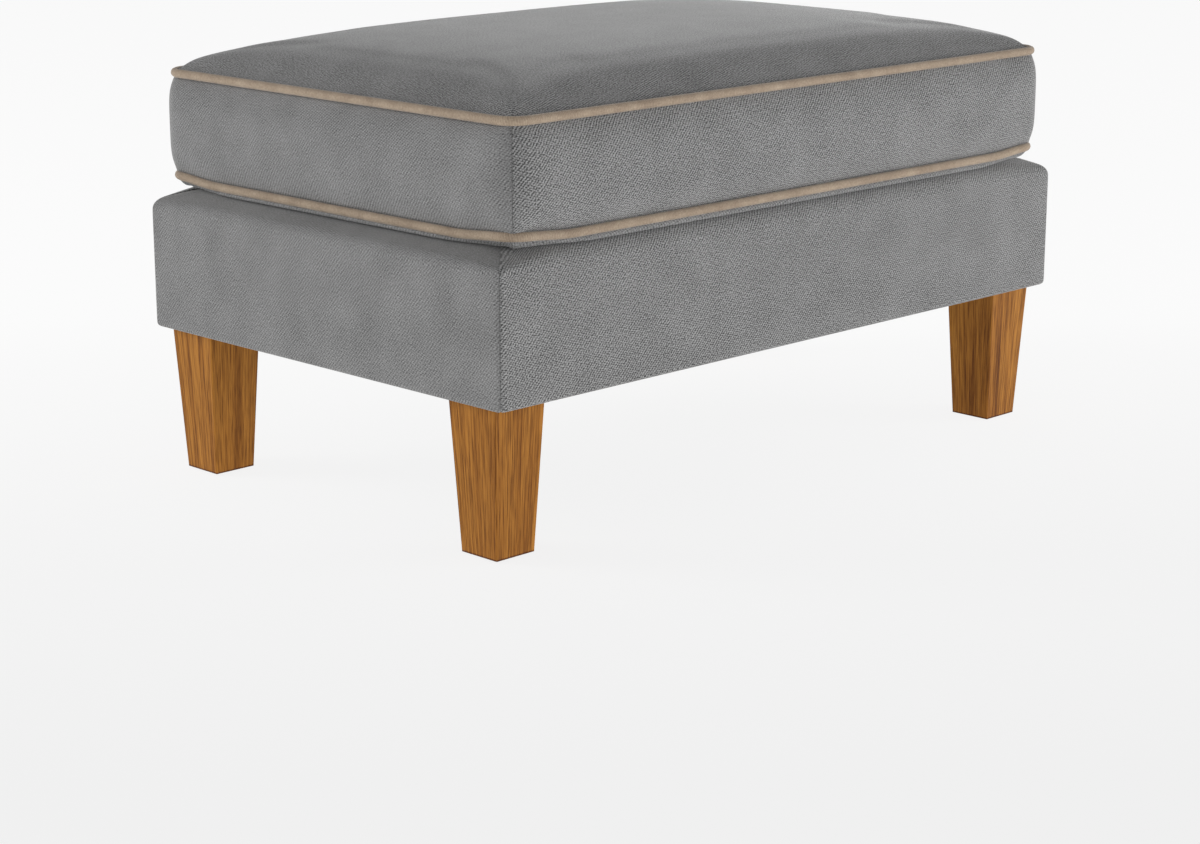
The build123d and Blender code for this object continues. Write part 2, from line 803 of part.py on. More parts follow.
barrel_length = lug_spacing - 2 * pull_clearance
barrel_radius = lug_height / 2 - pull_clearance
neck_length = lug_length + pull_clearance

with BuildPart() as zip_pull:
    with BuildSketch(Plane.XZ.offset(pull_thickness / 2 - pin_y)):
        with Locations((slider_x, band_middle)):
            Rectangle(2 * neck_length, barrel_length, align=(Align.MAX, Align.CENTER))
        with Locations((slider_x - neck_length, band_middle)):
            RectangleRounded(
                pull_length - neck_length,
                pull_width,
                pull_width / 3,
                align=(Align.MAX, Align.CENTER),
            )
        with Locations((slider_x - pull_length + pull_width / 2, band_middle)):
            Circle(pull_hole_radius, mode=Mode.SUBTRACT)
    extrude(amount=-pull_thickness)
    with BuildSketch(Plane.XY.offset(band_middle - barrel_length / 2)):
        with Locations((slider_x, pin_y)):
            Circle(barrel_radius)
    extrude(amount=barrel_length)
    with BuildSketch(Plane.XY.offset(band_middle - barrel_length / 2)):
        with Locations((slider_x, pin_y)):
            Circle(pin_radius + pull_clearance)
    extrude(amount=barrel_length, mode=Mode.SUBTRACT)
zip_pull.part.label = "zip_pull"
export_step(zip_pull.part, "parts/zip_pull.step")
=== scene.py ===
# %% [markdown]
# A footstool with a loose cushion. Its wooden frame, screws, legs and zip come from the CAD model as
# they are. Everything soft is made here: the cloth over the base, the cushion with its piping, and
# the padding, webbing and cloths that are inside and under it.

# %% Load the frame
import json
import math

import bmesh
import bpy
import numpy as np
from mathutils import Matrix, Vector, noise
from mathutils.bvhtree import BVHTree

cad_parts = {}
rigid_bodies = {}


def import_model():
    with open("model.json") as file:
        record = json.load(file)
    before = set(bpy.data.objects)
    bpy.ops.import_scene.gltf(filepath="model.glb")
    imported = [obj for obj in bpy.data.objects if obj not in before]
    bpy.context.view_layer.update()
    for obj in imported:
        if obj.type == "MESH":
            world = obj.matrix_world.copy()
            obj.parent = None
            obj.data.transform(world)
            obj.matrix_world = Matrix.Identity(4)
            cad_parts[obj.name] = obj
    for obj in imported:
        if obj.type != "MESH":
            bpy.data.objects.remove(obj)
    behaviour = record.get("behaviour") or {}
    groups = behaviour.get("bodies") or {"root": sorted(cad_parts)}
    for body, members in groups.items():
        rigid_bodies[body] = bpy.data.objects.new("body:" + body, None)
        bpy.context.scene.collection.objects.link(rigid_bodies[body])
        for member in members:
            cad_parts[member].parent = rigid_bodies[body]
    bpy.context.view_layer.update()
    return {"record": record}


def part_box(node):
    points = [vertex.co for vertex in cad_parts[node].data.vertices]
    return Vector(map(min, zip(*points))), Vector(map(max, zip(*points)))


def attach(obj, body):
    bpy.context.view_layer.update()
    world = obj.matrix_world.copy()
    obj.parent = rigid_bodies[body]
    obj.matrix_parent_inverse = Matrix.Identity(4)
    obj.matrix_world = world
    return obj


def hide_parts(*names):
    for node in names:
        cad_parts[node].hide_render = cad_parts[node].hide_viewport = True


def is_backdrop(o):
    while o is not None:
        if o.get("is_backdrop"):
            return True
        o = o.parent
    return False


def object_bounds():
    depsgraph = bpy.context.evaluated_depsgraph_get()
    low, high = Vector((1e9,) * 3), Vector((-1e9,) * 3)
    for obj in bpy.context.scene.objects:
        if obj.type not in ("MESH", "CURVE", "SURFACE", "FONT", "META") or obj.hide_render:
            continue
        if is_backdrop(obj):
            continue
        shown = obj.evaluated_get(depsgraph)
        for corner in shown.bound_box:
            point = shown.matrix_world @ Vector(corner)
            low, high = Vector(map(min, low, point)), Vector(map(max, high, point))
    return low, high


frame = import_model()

# %% [markdown]
# The camera stands a little above the cushion and looks at the corner between a long side and a
# short side. A long lens from over two metres away keeps the upright edges nearly parallel.

# %% Camera
camera_data = bpy.data.cameras.new("camera")
camera = bpy.data.objects.new("camera", camera_data)
bpy.context.collection.objects.link(camera)
bpy.context.scene.camera = camera
camera_data.sensor_width = 36
camera_data.lens = 80.02
camera.location = (-2.0227, -1.9963, 0.7575)
camera_turn = math.radians(45.0125)
camera_dip = math.radians(14.5527)
gaze = Vector((
    math.sin(camera_turn) * math.cos(camera_dip),
    math.cos(camera_turn) * math.cos(camera_dip),
    -math.sin(camera_dip),
))
camera.rotation_euler = gaze.to_track_quat("-Z", "Y").to_euler()
print("Camera height in mm:", round(1000 * camera.location.z))

# %% [markdown]
# A material is easier to read as a formula than as a list of nodes. This small class wraps a
# node's output, so that adding or multiplying two of them adds the Math node that does it.

# %% Sockets that take part in arithmetic
class Amount:
    """One value that varies over a surface."""

    def __init__(self, tree, socket):
        self.tree = tree
        self.socket = socket

    def apply(self, operation, *inputs):
        node = self.tree.nodes.new("ShaderNodeMath")
        node.operation = operation
        for socket, given in zip(node.inputs, inputs):
            connect(self.tree, given, socket)
        return Amount(self.tree, node.outputs[0])

    def __add__(self, other):
        return self.apply("ADD", self, other)

    def __sub__(self, other):
        return self.apply("SUBTRACT", self, other)

    def __mul__(self, other):
        return self.apply("MULTIPLY", self, other)

    def __truediv__(self, other):
        return self.apply("DIVIDE", self, other)

    def __rsub__(self, other):
        return self.apply("SUBTRACT", other, self)

    def __pow__(self, other):
        return self.apply("POWER", self, other)

    __radd__ = __add__
    __rmul__ = __mul__

    def sine(self):
        return self.apply("SINE", self)

    def limited(self):
        """The value kept between 0 and 1."""
        return self.apply("MINIMUM", self.apply("MAXIMUM", self, 0.0), 1.0)

    def above(self, low, high):
        """0 below low, 1 above high, and a straight ramp between."""
        return ((self - low) / (high - low)).limited()


def connect(tree, given, socket):
    if isinstance(given, Amount):
        tree.links.new(given.socket, socket)
    elif socket.type == "RGBA" and len(given) == 3:
        socket.default_value = (*given, 1.0)
    else:
        socket.default_value = given


# %% [markdown]
# Each finish starts from one Principled shader. What is the same all over is set on its sockets.
# What varies, such as a weave, is built from textures that follow the piece's own coordinates.

# %% A finish
def add_node(tree, kind, settings=None, inputs=None, output=0):
    """Any node: its type, its settings, what its sockets get, and the output wanted."""
    node = tree.nodes.new("ShaderNode" + kind)
    for word, value in (settings or {}).items():
        setattr(node, word, value)
    for socket, given in (inputs or {}).items():
        connect(tree, given, node.inputs[socket])
    return Amount(tree, node.outputs[output])


def linear(red, green, blue):
    """A colour as it is read off a screen, from 0 to 255, in the linear light of the renderer."""
    return tuple(((c / 255 + 0.055) / 1.055) ** 2.4 for c in (red, green, blue))


class Finish:
    """A material with one Principled shader, and methods that add what feeds it."""

    def __init__(self, name, roughness=0.9, **constants):
        self.material = bpy.data.materials.new(name)
        self.material.use_nodes = True
        self.tree = self.material.node_tree
        self.tree.nodes.clear()
        self.shader = self.tree.nodes.new("ShaderNodeBsdfPrincipled")
        self.output = self.tree.nodes.new("ShaderNodeOutputMaterial")
        self.tree.links.new(self.shader.outputs[0], self.output.inputs[0])
        self.shader.inputs["Roughness"].default_value = roughness
        for words, value in constants.items():
            socket = words.replace("_", " ").title().replace("Ior", "IOR")
            self.shader.inputs[socket].default_value = value

    def node(self, kind, settings=None, inputs=None, output=0):
        return add_node(self.tree, kind, settings, inputs, output)

    def places(self):
        """The three coordinates of a point on the piece, in metres."""
        spot = self.node("TexCoord", output="Object")
        parts = self.node("SeparateXYZ", inputs={0: spot}).socket.node
        return [Amount(self.tree, socket) for socket in parts.outputs]

    def point(self, x, y, z):
        return self.node("CombineXYZ", inputs={0: x, 1: y, 2: z})

    def noise(self, point, scale, detail=2.0, roughness=0.5):
        wanted = {"Vector": point, "Scale": scale, "Detail": detail, "Roughness": roughness}
        return self.node("TexNoise", inputs=wanted)

    def mix(self, share, first, second, way="MIX"):
        """A colour between two colours."""
        settings = {"data_type": "RGBA", "blend_type": way}
        return self.node("Mix", settings, {0: share, 6: first, 7: second}, output=2)

    def feed(self, socket, given):
        connect(self.tree, given, self.shader.inputs[socket])

    def bump(self, height, distance, strength=1.0):
        wanted = {"Height": height, "Distance": distance, "Strength": strength}
        self.feed("Normal", self.node("Bump", inputs=wanted))


def wear(piece, finish):
    """Gives a piece its finish."""
    piece.data.materials.clear()
    piece.data.materials.append(finish.material)


# %% [markdown]
# The upholstery cloth is a mid-grey twill. Its ribs climb to the right at about 48 degrees, a
# second finer line crosses them, and light and dark fibres in the yarn give it a heather look. It
# has a short nap, so it looks paler where the eye meets it at a low angle, which is what sheen
# does. Each panel stores how far across and how far up the cloth every point is, so the weave
# keeps its true scale round edges and corners, as cut cloth does. The cushion's top is cut the
# other way round, so its ribs climb to the left.

# %% Grey twill
full_turn = 2 * math.pi
rib_cycles = (261.0, -238.0)  # ribs in a metre, across the cloth and up it
cross_cycles = (133.0, 450.0)
turned_panels = {"top"}
# Weave contrast for each side, partly painted light: the short sides get less, as the light rakes across
# their ribs less there.
twill_contrast_and_painted_light = {
    "front": 1.12,
    "back": 1.12,
    "left": 0.55,
    "right": 0.55,
    "top": 1.0,
    "under": 0.7,
}
twill_shade = 116
pale_share, dark_share = 1.42, 0.60
fibre_depth = 0.0004


def diagonal(across, up, cycles, turn, drift):
    """Waves that run slantwise over a cloth, wandering a little."""
    return ((across * cycles[0] + up * (turn * cycles[1]) + drift) * full_turn).sine()


def twill(way):
    """The twill on a panel that faces one way. Its weave contrast is set for each side and is partly
    painted light: the short sides' panels get less, because the light rakes across their ribs less.
    """
    nap = {"sheen_weight": 0.5, "sheen_roughness": 0.3, "specular_ior_level": 0.1}
    finish = Finish(f"grey_twill_{way}", 0.95, **nap)
    contrast_and_painted_light = twill_contrast_and_painted_light[way]
    across = finish.node("Attribute", {"attribute_name": "across"}, output="Fac")
    up = finish.node("Attribute", {"attribute_name": "up"}, output="Fac")
    cloth_spot = finish.point(across, up, 0.0)
    drift = finish.noise(cloth_spot, 45.0, 2.0) * 1.2
    turn = -1 if way in turned_panels else 1
    rib = diagonal(across, up, rib_cycles, turn, drift)
    cross = diagonal(across, up, cross_cycles, turn, drift)
    fleck = finish.noise(cloth_spot, 560.0, 2.0, 0.6).above(0.32, 0.68)
    patchy = finish.noise(cloth_spot, 170.0, 2.0, 0.6).above(0.35, 0.65)
    cloud = finish.noise(finish.point(*finish.places()), 22.0, 3.0, 0.55).above(0.3, 0.7)
    weave = (rib * 0.36 + cross * 0.24) * (0.4 + patchy * 0.6)
    # The weave's contrast here carries painted light: it is weaker on the short sides.
    light = 0.5 + (weave + (fleck - 0.5) * 0.9) * contrast_and_painted_light + (cloud - 0.5) * 0.14
    pale = linear(*[twill_shade * pale_share] * 3)
    dark = linear(*[twill_shade * dark_share] * 3)
    finish.feed("Base Color", finish.mix(light.limited(), dark, pale))
    finish.feed("Roughness", 0.95 - weave * 0.1)
    finish.bump(weave + fleck * 0.5, fibre_depth, 0.6)
    return finish


twills = {way: twill(way) for way in twill_contrast_and_painted_light}
print("Twill finishes:", len(twills))

# %% [markdown]
# The piping is a cord covered with a strip of sand-coloured cloth with a fine rib. The strip is
# cut on the bias, so that it bends round corners, and the ribs run slantwise round the cord. The
# mesh stores how far along and how far round the cord each point is, and the ribs follow that.

# %% Piping cloth
piping_rib = 0.0021
ribs_around = 2.0


def ribbed_piping():
    nap = {"sheen_weight": 0.4, "sheen_roughness": 0.3, "specular_ior_level": 0.2}
    finish = Finish("sand_piping", 0.9, **nap)
    along = finish.node("Attribute", {"attribute_name": "along"}, output="Fac")
    around = finish.node("Attribute", {"attribute_name": "around"}, output="Fac")
    spot = finish.point(*finish.places())
    rib = ((along * (1 / piping_rib) + around * ribs_around) * full_turn).sine() * 0.5 + 0.5
    fleck = finish.noise(spot, 520.0, 2.0, 0.6)
    cloud = finish.noise(spot, 38.0, 2.0)
    light = rib * 0.2 + fleck.above(0.3, 0.7) * 0.45 + cloud.above(0.3, 0.7) * 0.35
    finish.feed("Base Color", finish.mix(light, linear(131, 114, 98), linear(187, 169, 148)))
    finish.bump(rib + fleck * 0.5, fibre_depth, 0.7)
    return finish


piping_cloth = ribbed_piping()

# %% [markdown]
# The legs are solid wood with a warm satin finish. The grain runs up the leg. Broad soft streaks
# come from the growth rings, and fine dark pores are stretched along them. Each leg is cut from a
# different place in the wood, so its coordinates are shifted by an amount of its own. The foot's
# bottom edge is darker, as painted shade where it sits next to the floor.

# %% Leg wood
leg_low, leg_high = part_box("leg_front_right")
leg_centre = (abs(leg_low.x + leg_high.x) / 2, abs(leg_low.y + leg_high.y) / 2)
leg_height = leg_high.z
leg_top_half = (leg_high.x - leg_low.x) / 2
leg_foot_half = 0.0245
leg_shift = (0.31, 0.17)
# Painted shade: the lowest millimetre or two of each leg is darkened, next to the floor.
painted_foot_shade_low = leg_low.z + 0.0008
painted_foot_shade_high = leg_low.z + 0.0022


def along_taper(x, y, z):
    """Coordinates that narrow with the leg, so that the streaks run along its faces."""
    half_width = z * ((leg_top_half - leg_foot_half) / leg_height) + leg_foot_half
    from_middle_x = (x.apply("ABSOLUTE", x) - leg_centre[0]) / half_width * leg_top_half
    from_middle_y = (y.apply("ABSOLUTE", y) - leg_centre[1]) / half_width * leg_top_half
    which_leg = x.apply("SIGN", x) * leg_shift[0] + y.apply("SIGN", y) * leg_shift[1]
    return from_middle_x + which_leg, from_middle_y + which_leg, z


def oiled_wood(name, pale, mid, dark, roughness, coat, streak=1.0, tapered=False):
    gloss = {"coat_weight": coat, "coat_roughness": 0.35, "specular_ior_level": 0.1}
    finish = Finish(name, roughness, **gloss)
    x, y, z = finish.places()
    if tapered:
        x, y, z = along_taper(x, y, z)
    wander = finish.noise(finish.point(x, y, z * 0.2), 14.0, 2.0) * 0.0012
    broad = finish.noise(finish.point(x + wander, y + wander, z * 0.05), 75.0, 2.0, 0.5)
    fine = finish.noise(finish.point(x + wander, y + wander, z * 0.03), 560.0, 3.0, 0.7)
    pores = finish.noise(finish.point(x, y, z * 0.03), 900.0, 2.0, 0.6)
    figure = finish.noise(finish.point(x, y, z * 0.10), 30.0, 2.0, 0.5)
    # Painted shade along the foot's bottom edge.
    painted_foot_shade = (1 - z.above(painted_foot_shade_low, painted_foot_shade_high)) * 0.7
    tone = broad.above(0.4, 0.6) * 0.45 + fine.above(0.4, 0.6) * 0.4
    tone = (tone + figure.above(0.3, 0.7) * 0.15) * streak
    warm = finish.mix(tone, pale, mid)
    deep = broad.above(0.48, 0.66) * 0.22 + fine.above(0.48, 0.6) * 0.42
    deep = (deep + pores.above(0.46, 0.6) * 0.36) * streak
    deep = (deep + figure.above(0.5, 0.7) * 0.12 + painted_foot_shade).limited()
    finish.feed("Base Color", finish.mix(deep, warm, dark))
    finish.feed("Roughness", roughness + fine * 0.12 - 0.06)
    finish.bump(fine * 0.5 - pores.above(0.6, 0.74) * 0.6, 0.00018, 0.5)
    return finish


leg_tones = linear(184, 125, 52), linear(152, 95, 31), linear(84, 42, 7)
leg_wood = oiled_wood("honey_walnut", *leg_tones, 0.5, 0.03, tapered=True)
frame_tones = linear(222, 190, 142), linear(205, 168, 118), linear(170, 128, 82)
frame_wood = oiled_wood("plain_pine", *frame_tones, 0.75, 0.0, 0.7)

# %% [markdown]
# The rest of the soft materials are seldom seen: foam, polyester batting, elastic webbing, hessian,
# a plain lining, a thin black dust cloth and the zip's tapes. Each has its own weave or cell texture
# at true scale.

# %% Hidden cloths and fillings
def woven(name, pale, dark, thread, flat_axes=(0, 1), roughness=0.9):
    """A plain weave, with threads that cross over and under at one spacing."""
    finish = Finish(name, roughness, specular_ior_level=0.2)
    places = finish.places()
    first = (places[flat_axes[0]] * (math.pi / thread)).sine()
    second = (places[flat_axes[1]] * (math.pi / thread)).sine()
    cross = first * second * 0.5 + 0.5
    fleck = finish.noise(finish.point(*places), 700.0, 2.0)
    light = cross * 0.6 + fleck.above(0.3, 0.7) * 0.4
    finish.feed("Base Color", finish.mix(light, dark, pale))
    finish.bump(cross, thread * 0.2, 0.8)
    return finish


def spongy(name, pale, dark, cell):
    """Foam or batting, as small soft cells."""
    finish = Finish(name, 0.95, specular_ior_level=0.1)
    spot = finish.point(*finish.places())
    cells = finish.noise(spot, cell, 3.0, 0.6)
    cloud = finish.noise(spot, 14.0, 2.0)
    finish.feed("Base Color", finish.mix(cells.above(0.3, 0.7) * 0.6 + cloud * 0.4, dark, pale))
    finish.bump(cells, 0.0006, 0.8)
    return finish


foam = spongy("seat_foam", linear(238, 226, 188), linear(214, 196, 150), 900.0)
batting = spongy("white_batting", linear(240, 240, 236), linear(214, 214, 208), 260.0)
webbing_cloth = woven("black_webbing", linear(72, 72, 76), linear(34, 34, 38), 0.0016)
jute = woven("jute_hessian", linear(196, 164, 112), linear(118, 88, 50), 0.0018)
lining = woven("grey_lining", linear(120, 120, 122), linear(86, 86, 88), 0.0009)
dust_cloth = woven("black_dust_cloth", linear(48, 48, 50), linear(26, 26, 28), 0.0007)
zip_tape_cloth = woven("grey_zip_tape", linear(112, 112, 114), linear(74, 74, 77), 0.0006, (0, 2))

# %% [markdown]
# The metal pieces are small, so fine brush lines and a little unevenness in their gloss are all
# that shows. The plastic ones have the fine grain that a mould leaves.

# %% Metal and plastic
def brushed(name, pale, dark, roughness):
    finish = Finish(name, roughness, metallic=1.0)
    x, y, z = finish.places()
    lines = finish.noise(finish.point(x * 0.2, y, z), 1800.0, 2.0)
    cloud = finish.noise(finish.point(x, y, z), 160.0, 2.0)
    finish.feed("Base Color", finish.mix(lines * 0.5 + cloud * 0.5, dark, pale))
    finish.feed("Roughness", roughness + cloud * 0.2 - 0.1)
    finish.bump(lines, 0.00005, 0.4)
    return finish


def moulded(name, pale, dark, roughness):
    finish = Finish(name, roughness)
    spot = finish.point(*finish.places())
    grain = finish.noise(spot, 1300.0, 2.0)
    finish.feed("Base Color", finish.mix(grain, dark, pale))
    finish.bump(grain, 0.00008, 0.5)
    return finish


plated_steel = brushed("plated_steel", (0.74, 0.71, 0.64), (0.52, 0.50, 0.46), 0.34)
zip_metal = brushed("zip_nickel", (0.60, 0.59, 0.57), (0.38, 0.37, 0.36), 0.3)
glide_plastic = moulded("brown_nylon", linear(70, 54, 42), linear(44, 34, 27), 0.5)
coil_nylon = moulded("grey_coil", linear(118, 118, 120), linear(84, 84, 87), 0.4)

cad_finishes = {
    "frame_wood": frame_wood,
    "leg_wood": leg_wood,
    "plated_steel": plated_steel,
    "glide_plastic": glide_plastic,
    "zip_metal": zip_metal,
}
slots = {row["node"]: row["material_slot"] for row in frame["record"]["subparts"]}
for node, slot in slots.items():
    if slot in cad_finishes:
        materials = bpy.data.objects[node].data.materials
        materials.clear()
        materials.append(cad_finishes[slot].material)
print("CAD nodes with a new finish:", sum(slot in cad_finishes for slot in slots.values()))

# %% [markdown]
# Every cloth piece here is a grid of points, and a closed form is a few grids that share their
# borders. One helper turns points and faces into a mesh, a second lists the faces of a grid, and a
# third gives a cloth its thickness. Another says which body a piece moves with and which CAD node
# it stands for.

# %% Meshes from rows of points
def make_piece(name, points, faces):
    mesh = bpy.data.meshes.new(name)
    mesh.from_pydata([tuple(map(float, p)) for p in points], [], [tuple(map(int, f)) for f in faces])
    mesh.validate()
    piece = bpy.data.objects.new(name, mesh)
    bpy.context.collection.objects.link(piece)
    outward = bmesh.new()
    outward.from_mesh(mesh)
    bmesh.ops.recalc_face_normals(outward, faces=outward.faces)
    outward.to_mesh(mesh)
    outward.free()
    mesh.shade_smooth()
    return piece


def grid_faces(rows, columns, closed=False, start=0):
    """Faces of a grid whose points run row by row. A closed grid joins its last column to its first."""
    faces = []
    for row in range(rows - 1):
        for column in range(columns if closed else columns - 1):
            beside = (column + 1) % columns
            low, high = start + row * columns, start + (row + 1) * columns
            faces.append((low + column, low + beside, high + beside, high + column))
    return faces


def thicken(piece, thickness, subdivide=0):
    """A cloth's points are its outer face, and its thickness lies inside them."""
    if subdivide:
        finer = piece.modifiers.new("finer", "SUBSURF")
        finer.boundary_smooth = "PRESERVE_CORNERS"
        finer.levels = subdivide
        finer.render_levels = subdivide
    layer = piece.modifiers.new("cloth", "SOLIDIFY")
    layer.thickness = thickness
    layer.offset = -1


def faced_up(piece, axis):
    """Turns a flat piece over if its faces look down the axis."""
    if sum(face.normal[axis] for face in piece.data.polygons) < 0:
        piece.data.flip_normals()


def stand_in(piece, body, node):
    """The piece moves with a body and takes the place of a CAD node."""
    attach(piece, body)
    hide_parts(node)


def length_of(points):
    """The length of a line of points."""
    return float(np.linalg.norm(np.diff(points, axis=0), axis=1).sum())


def ease(value, low, high):
    """0 below low, 1 above high, and a smooth turn between."""
    share = np.clip((np.asarray(value, float) - low) / (high - low), 0, 1)
    return share * share * (3 - 2 * share)


# %% [markdown]
# The base and the cushion are both boxes with rounded corners, and both are sewn from four side
# panels that meet in the middle of each corner. So a ring round either is made of four runs, and a
# run goes from one corner's middle to the next. The points sit closer together near the corners.

# %% Rings of four runs
arc_steps = 4
side_names = ("front", "right", "back", "left")
long_sides = ("front", "back")


def run_of_points(half_length, half_depth, radius, count, crowding=0.45):
    """One side's run, on the side that faces -Y, from the left corner's middle to the right's."""
    left = []
    for turn in np.linspace(math.radians(225), math.radians(270), arc_steps + 1):
        x = -half_length + radius * (1 + math.cos(turn))
        y = -half_depth + radius * (1 + math.sin(turn))
        left.append((x, y))
    even = np.linspace(0, 1, count + 1)[1:-1]
    crowded = even - crowding * np.sin(2 * math.pi * even) / (2 * math.pi)
    straight = [((half_length - radius) * (2 * share - 1), -half_depth) for share in crowded]
    right = [(-x, y) for x, y in reversed(left)]
    return np.array(left + straight + right)


def side_run(side, half_length, half_depth, radius, counts, crowding=0.45):
    """The same run turned to face any side. counts holds the steps of a long and of a short side."""
    if side in long_sides:
        run = run_of_points(half_length, half_depth, radius, counts[0], crowding)
    else:
        run = run_of_points(half_depth, half_length, radius, counts[1], crowding)
    x, y = run[:, 0], run[:, 1]
    turned = {"front": (x, y), "right": (-y, x), "back": (-x, -y), "left": (y, -x)}
    return np.stack(turned[side], axis=1)


# %% [markdown]
# The cloth over the base is stapled under the rails, comes up over wadding, turns over the top
# edge and climbs to the deck, where a plain cloth takes over under the cushion. On the long sides
# the padding is full, so the edge is a round roll. On the short sides it climbs slowly. At the
# front left corner the cloth is pulled tight and the edge is crisp, and at the other three it is a
# little looser. So there are four outlines, and every panel goes smoothly from each corner's
# outline to its own.

# %% Outlines of the covered base
base_low, base_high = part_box("cover_front")
base_half = (-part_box("cover_left")[0].x, -base_low.y)
base_bottom = base_low.z
base_top = base_high.z
print("Base in mm:", [round(2000 * h) for h in base_half])
print("Its cloth in mm from", round(1000 * base_bottom), "to", round(1000 * base_top))

bottom_turn = 0.004
cover_lip = 0.075
cover_return = 0.028
tacked_width = 0.016
corner_turn = 0.007
deck_corner_turn = 0.040
edge_stop = 75
base_counts = (64, 40)
outline_change = 0.070
outlines = {
    "tight_corner": {"edge_turn": 0.0060, "climb": 0.0120, "shoulder": 0.050},
    "loose_corner": {"edge_turn": 0.0125, "climb": 0.0110, "shoulder": 0.050},
    "short": {"edge_turn": 0.0130, "climb": 0.0090, "shoulder": 0.052},
    "long": {"edge_turn": 0.0180, "climb": 0.0030, "shoulder": 0.034},
}


def base_outline(edge_turn, climb, shoulder):
    """How far in, how high and how round the corner is, from under the rail to the deck's lip."""
    edge_height = base_top - climb
    rows = [(cover_return, base_bottom, corner_turn), (tacked_width, base_bottom, corner_turn)]
    for turn in range(0, 91, 30):
        angle = math.radians(turn)
        inset = bottom_turn * (1 - math.sin(angle))
        rows.append((inset, base_bottom + bottom_turn * (1 - math.cos(angle)), corner_turn))
    side_low = base_bottom + bottom_turn
    side_high = edge_height - edge_turn
    for share in np.linspace(0.06, 1, 13):
        rows.append((0, side_low + (side_high - side_low) * share, corner_turn))
    for turn in (15, 30, 45, 60, edge_stop):
        angle = math.radians(turn)
        inset = edge_turn * (1 - math.cos(angle))
        rows.append((inset, edge_height - edge_turn * (1 - math.sin(angle)), corner_turn))
    edge_in, edge_up, _ = rows[-1]
    for share in np.linspace(0.1, 1, 9):
        rise = math.sin(math.radians(90 * share))
        rows.append((
            edge_in + (shoulder - edge_in) * share,
            edge_up + (base_top - edge_up) * rise,
            corner_turn + (deck_corner_turn - corner_turn) * share,
        ))
    rows.append((cover_lip, base_top, deck_corner_turn))
    return rows


def outline_grid(side, outline):
    """The panel's points, if one outline ran all along it."""
    grid = []
    for inset, height, radius in base_outline(**outlines[outline]):
        run = side_run(side, base_half[0] - inset, base_half[1] - inset, radius, base_counts)
        grid.append(np.column_stack([run, np.full(len(run), height)]))
    return np.array(grid)


# %% [markdown]
# Where two panels meet, both edges turn inwards into a narrow groove. An extra column of points
# close to the edge keeps that groove narrow when the mesh is smoothed. On the base the groove ends
# under the top edge, because the seam lies flat on the deck.

# %% Sewn edges and cloth lengths
groove_half_width = 0.0009
band_groove = 0.0017
base_groove = 0.0008
base_groove_end = (base_top - 0.016, base_top - 0.012)
cover_cloth = 0.0012


def sewn_ends(grid, centre, groove_depth):
    """The grid with its first and last column turned inwards, and a new column close to each."""
    def turned(edge, inner, up_panel):
        outward = np.cross(inner - edge, up_panel)
        outward /= np.linalg.norm(outward, axis=1)[:, None] + 1e-12
        facing = np.sign((outward * (edge - centre)).sum(axis=1))[:, None]
        step = inner - edge
        step /= np.linalg.norm(step, axis=1)[:, None]
        return [edge - outward * facing * groove_depth, edge + step * groove_half_width]

    first = turned(grid[:, 0], grid[:, 1], np.gradient(grid[:, 0], axis=0))
    last = turned(grid[:, -1], grid[:, -2], np.gradient(grid[:, -1], axis=0))
    columns = first + [grid[:, place] for place in range(1, grid.shape[1] - 1)] + last[::-1]
    return np.stack(columns, axis=1)


def store_lengths(piece, grid):
    """Stores on each point how far across and how far up its cloth it is, from the panel's middle."""
    for word, axis in (("across", 1), ("up", 0)):
        steps = np.linalg.norm(np.diff(grid, axis=axis), axis=2)
        lengths = np.cumsum(np.insert(steps, 0, 0, axis=axis), axis=axis)
        middle = np.take(lengths, [grid.shape[axis] // 2], axis=axis)
        stored = piece.data.attributes.new(word, "FLOAT", "POINT")
        stored.data.foreach_set("value", (lengths - middle).reshape(-1).astype(np.float32))


# %% [markdown]
# A cover is one grid. Its border columns follow the corners' outlines and its middle follows the
# side's own. The points without the groove are kept too, because the cushion and the deck's foam
# are fitted to them later.

# %% Covers of the base
def base_cover(side):
    """A cover's own mesh, and its grid without the grooves."""
    own = outline_grid(side, "long" if side in long_sides else "short")
    tight, corner = outline_grid(side, "tight_corner"), outline_grid(side, "loose_corner")
    at_tight = (tight[..., 0] < 0) & (tight[..., 1] < 0)
    corner[at_tight] = tight[at_tight]
    x, y = np.abs(corner[..., 0]), np.abs(corner[..., 1])
    along = np.maximum(base_half[0] - x, base_half[1] - y)
    share = ease(along, 0.0, outline_change)[..., None]
    flat = corner * (1 - share) + own * share
    groove = base_groove * (1 - ease(flat[:, 0, 2], *base_groove_end))[:, None]
    grid = sewn_ends(flat, np.array([0, 0, (base_bottom + base_top) / 2]), groove)
    piece = make_piece(f"base_cover_{side}", grid.reshape(-1, 3), grid_faces(*grid.shape[:2]))
    store_lengths(piece, grid)
    thicken(piece, cover_cloth, 1)
    return piece, flat


row_on_side = 10
cover_points = []
cover_faces = []
for side in side_names:
    cover, grid = base_cover(side)
    cover_faces += grid_faces(*grid.shape[:2], start=sum(len(points) for points in cover_points))
    cover_points.append(grid.reshape(-1, 3))
    wear(cover, twills[side])
    stand_in(cover, "base", f"cover_{side}")
    up_the_middle = grid[:, grid.shape[1] // 2]
    size = (round(length_of(grid[row_on_side]), 3), round(length_of(up_the_middle), 3))
    print(f"base_cover_{side} flat in metres:", size)

# %% [markdown]
# What lies on the covered base, or under its cloth, needs to know how high the cloth is at any
# place. A ray sent straight down finds that.

# %% Height of the covered deck
cover_tree = BVHTree.FromPolygons([Vector(p) for p in np.vstack(cover_points)], cover_faces)
straight_down = Vector((0, 0, -1))
well_above = base_top + 0.05


